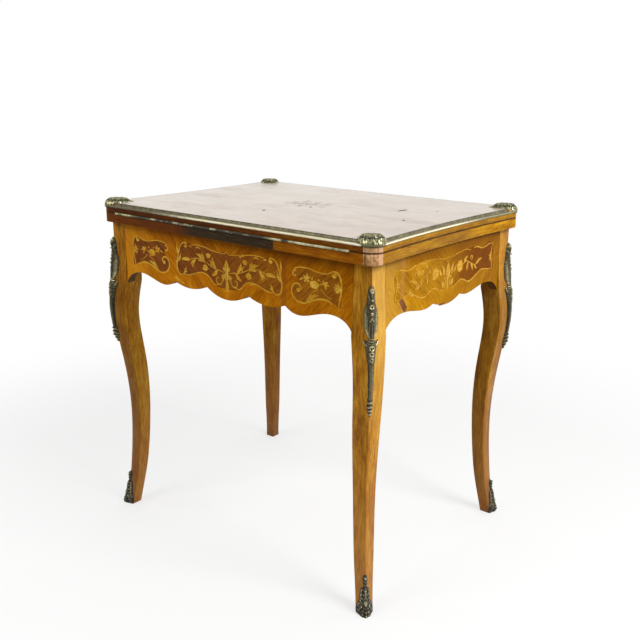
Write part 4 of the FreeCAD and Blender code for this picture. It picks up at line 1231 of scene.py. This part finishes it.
CAP_PROFILE = ((0, 6.4), (5, 6.6), (8, 6.0), (11, 7.0), (15, 7.8), (17.5, 7.6), (20, 6.2), (22.5, 3.8),
               (24.6, 1.0), (26.2, -2.0), (27, -4.4))
CAP_RINGS = (1.2, 2.4, 3.6, 4.8, 6, 7, 7.8, 8.6, 9.4, 10.2, 11, 11.8, 12.8, 14, 15.2, 16.4, 17.6, 18.8, 20,
             21, 22, 23, 24, 24.8, 25.4, 25.9, 26.3, 26.6, 26.8, CAP_R)
CAP_SKIRT = ((7.0, 0.7), (9.2, 0.55), (9.5, 0.1), (10.4, 0.05))
CAP_STEPS, CAP_LEAVES, CAP_LOBES, CAP_HIGHEST = 160, 5, 14, 8.4


def cap_height(r, a):
    """Height of a corner cap over the top, and its carving, at a radius and angle."""
    ring = within(r, 8, 10.5, 18.5, 20.5)
    leaf = abs(math.cos(a * CAP_LEAVES))
    cut = ring * (1.4 * (leaf ** 0.6 - 0.7) + 0.8 * bump_at(math.sin(a * CAP_LEAVES), 0.14))
    cut += 1.7 * noise.noise((r * 0.33 * math.cos(a), r * 0.33 * math.sin(a), 7.0))
    cut += 1.1 * bump_at(r - 7.4, 1.2) - 1.2 * bump_at(r - 20.6, 1.0)
    cut += 0.4 * math.cos(a * CAP_LOBES) * smooth(20.5, 22, r) * (1 - smooth(25, 26.5, r))
    cut += (1 - smooth(4.5, 6.5, r)) * 0.7 * math.cos(a * 6) * smooth(1.5, 3.5, r) + 0.8 * bump_at(r, 1.8)
    return min(along(CAP_PROFILE, r) + cut, CAP_HIGHEST), cut


def build_caps():
    for place, (sx, sy) in CORNERS.items():
        bm = new_casting()
        spots = [bm.verts.new((r * MM, 0, 0)) for r in CAP_RINGS]
        for pair in zip(spots, spots[1:]):
            bm.edges.new(pair)
        bmesh.ops.spin(bm, geom=bm.verts[:] + bm.edges[:], cent=(0, 0, 0), axis=(0, 0, 1), dvec=(0, 0, 0),
                       angle=2 * math.pi, steps=CAP_STEPS, use_merge=True, use_duplicate=False)
        finish_cap(bm, place, sx, sy)


def finish_cap(bm, place, sx, sy):
    """Raise the flat disc of a cap to its carved dome, drawn out towards the middle of the top."""
    relief = bm.verts.layers.float["relief"]
    towards = Vector((-sx, -sy, 0)).normalized()
    bmesh.ops.remove_doubles(bm, verts=bm.verts, dist=WELD)
    hole = [e for e in bm.edges if e.is_boundary and e.verts[0].co.length < 2 * MM]
    bmesh.ops.contextual_create(bm, geom=hole)
    outer = [e for e in bm.edges if e.is_boundary]
    for v in bm.verts:
        r, a = v.co.length / MM, math.atan2(v.co.y, v.co.x)
        z, cut = cap_height(r, a)
        lobe = math.cos(a * CAP_LOBES) * smooth(20, 24, r) * (1 - smooth(25.5, 26.8, r))
        inward = max(0.0, v.co.dot(towards)) / (CAP_R * MM)
        vein = max(0.0, 1 - 4.0 * abs(noise.noise(v.co * 300))) * smooth(5, 8, r) * (1 - smooth(20, 23, r))
        v.co = v.co * (1 + 0.01 * lobe) + towards * (CAP_TAIL * MM * inward ** 1.5)
        v.co.z = (TOP_Z + z - 2.6 * smooth(0.3, 1.0, inward) * (1 - smooth(25, 26.8, r))) * MM
        patch = noise.noise((v.co.x * 260, v.co.y * 260, 2.0))
        v.co.z += 0.4 * MM * vein
        v[relief] = clamp(0.24 + cut * 0.24 + 0.5 * vein + (0.36 + 0.5 * patch) * smooth(21, 24, r))
    for drop, shine in CAP_SKIRT:
        skirt = bmesh.ops.extrude_edge_only(bm, edges=outer)["geom"]
        for v in (g for g in skirt if isinstance(g, bmesh.types.BMVert)):
            v.co.z = (TOP_Z - drop) * MM
            v[relief] = clamp(shine + shine * 0.5 * noise.noise((v.co.x * 260, v.co.y * 260, drop * 0.3)))
        outer = [g for g in skirt if isinstance(g, bmesh.types.BMEdge)]
    bottom = [e for e in bm.edges if e.is_boundary]
    bmesh.ops.contextual_create(bm, geom=bottom)
    bmesh.ops.translate(bm, verts=bm.verts, vec=Vector((sx * CAP_X, sy * CAP_Y, 0)) * MM)
    finish_casting(bm, "corner_bronze_" + place, "corner_cap_" + place, "upper_top", "cap")


# Section of the brass edge: how far it reaches in, its upper and lower end, its hollow and its bead
BRASS_IN, BRASS_TOP, BRASS_FOOT = 9.0, 0.02, 10.48
HOLLOW_WIDE, HOLLOW_DEEP = 7.0, 6.5
BEAD_TOP, BEAD_OUT, BEAD_HIGH = 6.52, 1.8, 3.96
ROUND_STEPS, HOLLOW_STEPS = 14, 48


def moulding_profile():
    """Section of the brass edge: out from the leaf's edge and up from the top face."""
    turn = [i * math.pi / (2 * ROUND_STEPS) for i in range(ROUND_STEPS + 1)]
    points = [(-BRASS_IN, -BRASS_TOP)]
    points += [(-HOLLOW_WIDE * math.cos(t), -BRASS_TOP - HOLLOW_DEEP * math.sin(t)) for t in turn]
    points += [(BEAD_OUT * math.sin(2 * t), -BEAD_TOP - BEAD_HIGH * math.sin(t) ** 2) for t in turn[1:]]
    return points + [(-BRASS_IN, -BRASS_FOOT)]


def build_moulding():
    """Brass along the four edges of the top: straight at the front, hollow at the ends and the back."""
    profile = moulding_profile()
    for side in ("front", "right", "back", "left"):
        bm = bmesh.new()
        if side == "front":
            ring = [bm.verts.new(Vector((-CAP_X, -TOP_Y - n, TOP_Z + z)) * MM) for n, z in profile]
            face = bm.faces.new(ring)
            made = bmesh.ops.extrude_face_region(bm, geom=[face], use_keep_orig=True)["geom"]
            moved = [g for g in made if isinstance(g, bmesh.types.BMVert)]
            bmesh.ops.translate(bm, verts=moved, vec=(2 * CAP_X * MM, 0, 0))
        else:
            sx, sy = {"right": (1, 0), "back": (0, 1), "left": (-1, 0)}[side]
            half, hollow, edge = (TOP_X, BACK_HOLLOW, TOP_Y) if sy else (TOP_Y, END_HOLLOW, TOP_X)
            chord = half - CORNER_R
            radius = (chord ** 2 + hollow ** 2) / (2 * hollow)
            out = Vector((sx, sy, 0))
            centre = out * (edge + radius - hollow)
            sweep = 2 * math.asin((half - TOP_X + CAP_X) / radius)
            start = Matrix.Rotation(-sweep / 2, 3, "Z")
            arm = out * (edge - hollow) - centre
            ring = []
            for n, z in profile:
                p = start @ (arm + out * n)
                ring.append(bm.verts.new((centre + p + Vector((0, 0, TOP_Z + z))) * MM))
            face = bm.faces.new(ring)
            bmesh.ops.spin(bm, geom=[face], cent=centre * MM, axis=(0, 0, 1), angle=sweep,
                           steps=HOLLOW_STEPS, use_duplicate=False)
        bmesh.ops.remove_doubles(bm, verts=bm.verts, dist=WELD)
        bmesh.ops.recalc_face_normals(bm, faces=bm.faces)
        obj = piece("edge_brass_" + side, bm, "upper_top", "edge_brass", [MATERIAL["brass"]], angle=40.0)
        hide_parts("moulding_" + side)


CLOTH_GRID, CLOTH_SEED = (64, 44), 7


def build_baize():
    """Cloth of each leaf, with a slightly uneven nap."""
    for half, z in (("lower", LOWER_CLOTH_Z), ("upper", UPPER_CLOTH_Z)):
        bm = bmesh.new()
        bmesh.ops.create_grid(bm, x_segments=CLOTH_GRID[0], y_segments=CLOTH_GRID[1], size=0.5)
        rng = random.Random(CLOTH_SEED)
        for v in bm.verts:
            v.co.x *= BAIZE[0]
            v.co.y *= BAIZE[1]
            v.co.z = (z + CLOTH_RISE + CLOTH_NAP * rng.random()) * MM
        bm.normal_update()
        bmesh.ops.solidify(bm, geom=bm.faces[:], thickness=-CLOTH_THICK * MM)
        bmesh.ops.recalc_face_normals(bm, faces=bm.faces)
        cloth = piece(half + "_cloth", bm, half + "_top", "green_baize", [MATERIAL["felt"]], angle=60.0)
        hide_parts(half + "_baize")


def paint_nodes():
    """Materials of the CAD nodes that stay."""
    for node in NODES:
        slot = SLOT_OF[node]
        if node.startswith("panel_"):
            paint(node, MATERIAL["ground_end" if node in ("panel_left", "panel_right") else "ground"])
        elif slot == "iron":
            paint(node, MATERIAL["iron"])
        elif slot == "hinge_brass":
            paint(node, MATERIAL["hinge"])
        elif slot == "carcass_wood":
            paint(node, MATERIAL["carcass_y" if node in ("pivot_rail", "well_partition") else "carcass_x"])


# Studio

WHITE = (1, 1, 1, 1)
FLOOR_RADIUS, FLOOR_FADE, FLOOR_GLOW = 6.0, (0.8, 1.7), 0.63
FLOOR_SEEN = (0.3, 0.3, 0.298, 1)
FLOOR_DARK, FLOOR_LIGHT = (0.56, 0.56, 0.555, 1), (0.62, 0.62, 0.615, 1)
ROOM_DARK, ROOM_EASE, WINDOW = (0.28, 0.28, 0.28, 1), 0.55, (-0.3, 0.93, 0.2)

# Lamps: name, place, what they point at, size and power
LAMPS = (("key", (2.75, 0.0, 2.5), (0, 0, 0.5), 1.5, 92), ("left", (-2.7, -1.9, 2.1), (0, 0, 0.6), 1.2, 12),
         ("fill", (-0.7, -2.5, 2.8), (0, 0, 0.5), 1.8, 36))

# The camera: lens in pixels of the picture, angles in degrees and place in metres
PIXELS, FOCAL, SHIFT_X, SHIFT_Y = 640, 820.4, -16.8, -17.7
AZIMUTH, ELEVATION, ROLL = 37.75, 14.95, 0.58
CAMERA_PLACE = (1.1924, -1.4353, 1.0271)
SENSOR = 36.0


def build_stage():
    """Pale floor that takes shadows and fades out around the table."""
    bm = bmesh.new()
    bmesh.ops.create_circle(bm, cap_ends=True, radius=FLOOR_RADIUS, segments=96)
    mesh = bpy.data.meshes.new("floor")
    bm.to_mesh(mesh)
    bm.free()
    floor = bpy.data.objects.new("floor", mesh)
    bpy.context.scene.collection.objects.link(floor)
    s = Shader("floor")
    x, y = s.axes[:2]
    reach = s.math("SQRT", x * x + y * y)
    cloud = s.ramp(s.noise(2.2, 4.0), [(0.3, FLOOR_DARK), (0.7, FLOOR_LIGHT)])
    rays = s.node("LightPath").outputs
    seen = s.most(rays["Is Camera Ray"], rays["Is Glossy Ray"])
    seen = s.most(seen, rays["Is Transmission Ray"])
    s.colour = s.mix(seen, cloud, FLOOR_SEEN)
    s.finish(Roughness=0.8, Specular_IOR_Level=0.0, Emission_Color=WHITE, Emission_Strength=seen * FLOOR_GLOW)
    clear = s.node("BsdfTransparent")
    hide = s.most(s.step(reach, *FLOOR_FADE), s.node("NewGeometry").outputs["Backfacing"])
    both = s.node("MixShader", Fac=hide)
    s.give(both.inputs[1], s.surface.outputs[0])
    s.give(both.inputs[2], clear.outputs[0])
    s.give(s.tree.nodes["Material Output"].inputs["Surface"], both.outputs[0])
    mesh.materials.append(s.material)


def area_light(name, place, target, size, power):
    light = bpy.data.lights.new(name, "AREA")
    light.shape = "DISK"
    light.size = size
    light.energy = power
    obj = bpy.data.objects.new(name, light)
    obj.location = place
    obj.rotation_euler = (Vector(target) - Vector(place)).to_track_quat("-Z", "Y").to_euler()
    obj.visible_camera = False
    bpy.context.scene.collection.objects.link(obj)


def build_light():
    """Room that is brighter towards one window and white behind the table, with three lamps."""
    world = bpy.data.worlds.new("studio")
    bpy.context.scene.world = world
    room = Nodes(world)
    facing = room.node("VectorMath", operation="DOT_PRODUCT")
    room.give(facing.inputs[0], room.node("TexCoord").outputs["Generated"])
    room.give(facing.inputs[1], WINDOW)
    walls = room.ramp(facing.outputs["Value"], [(0.0, ROOM_DARK), (ROOM_EASE, WHITE)])
    colour = room.mix(room.node("LightPath").outputs["Is Camera Ray"], walls, WHITE)
    back = room.tree.nodes["Background"]
    room.give(back.inputs["Color"], colour)
    room.give(back.inputs["Strength"], 1.0)
    for lamp in LAMPS:
        area_light(*lamp)


def build_camera():
    camera = bpy.data.cameras.new("camera")
    azimuth, elevation, roll = math.radians(AZIMUTH), math.radians(ELEVATION), math.radians(ROLL)
    ahead = Vector((-math.sin(azimuth) * math.cos(elevation), math.cos(azimuth) * math.cos(elevation),
                    -math.sin(elevation)))
    right = Vector((math.cos(azimuth), math.sin(azimuth), 0))
    up = right.cross(ahead)
    right, up = (right * math.cos(roll) + up * math.sin(roll), up * math.cos(roll) - right * math.sin(roll))
    obj = bpy.data.objects.new("camera", camera)
    rows = [(right[i], up[i], -ahead[i], CAMERA_PLACE[i]) for i in range(3)]
    obj.matrix_world = Matrix((*rows, (0, 0, 0, 1)))
    camera.sensor_width = SENSOR
    camera.lens = SENSOR * FOCAL / PIXELS
    camera.shift_x = SHIFT_X / PIXELS
    camera.shift_y = SHIFT_Y / PIXELS
    bpy.context.scene.collection.objects.link(obj)
    bpy.context.scene.camera = obj


paint_nodes()
build_wood()
build_marquetry()
build_leg_mounts()
build_caps()
build_moulding()
build_baize()
build_stage()
build_light()
build_camera()
bpy.context.scene.view_settings.view_transform = "Standard"
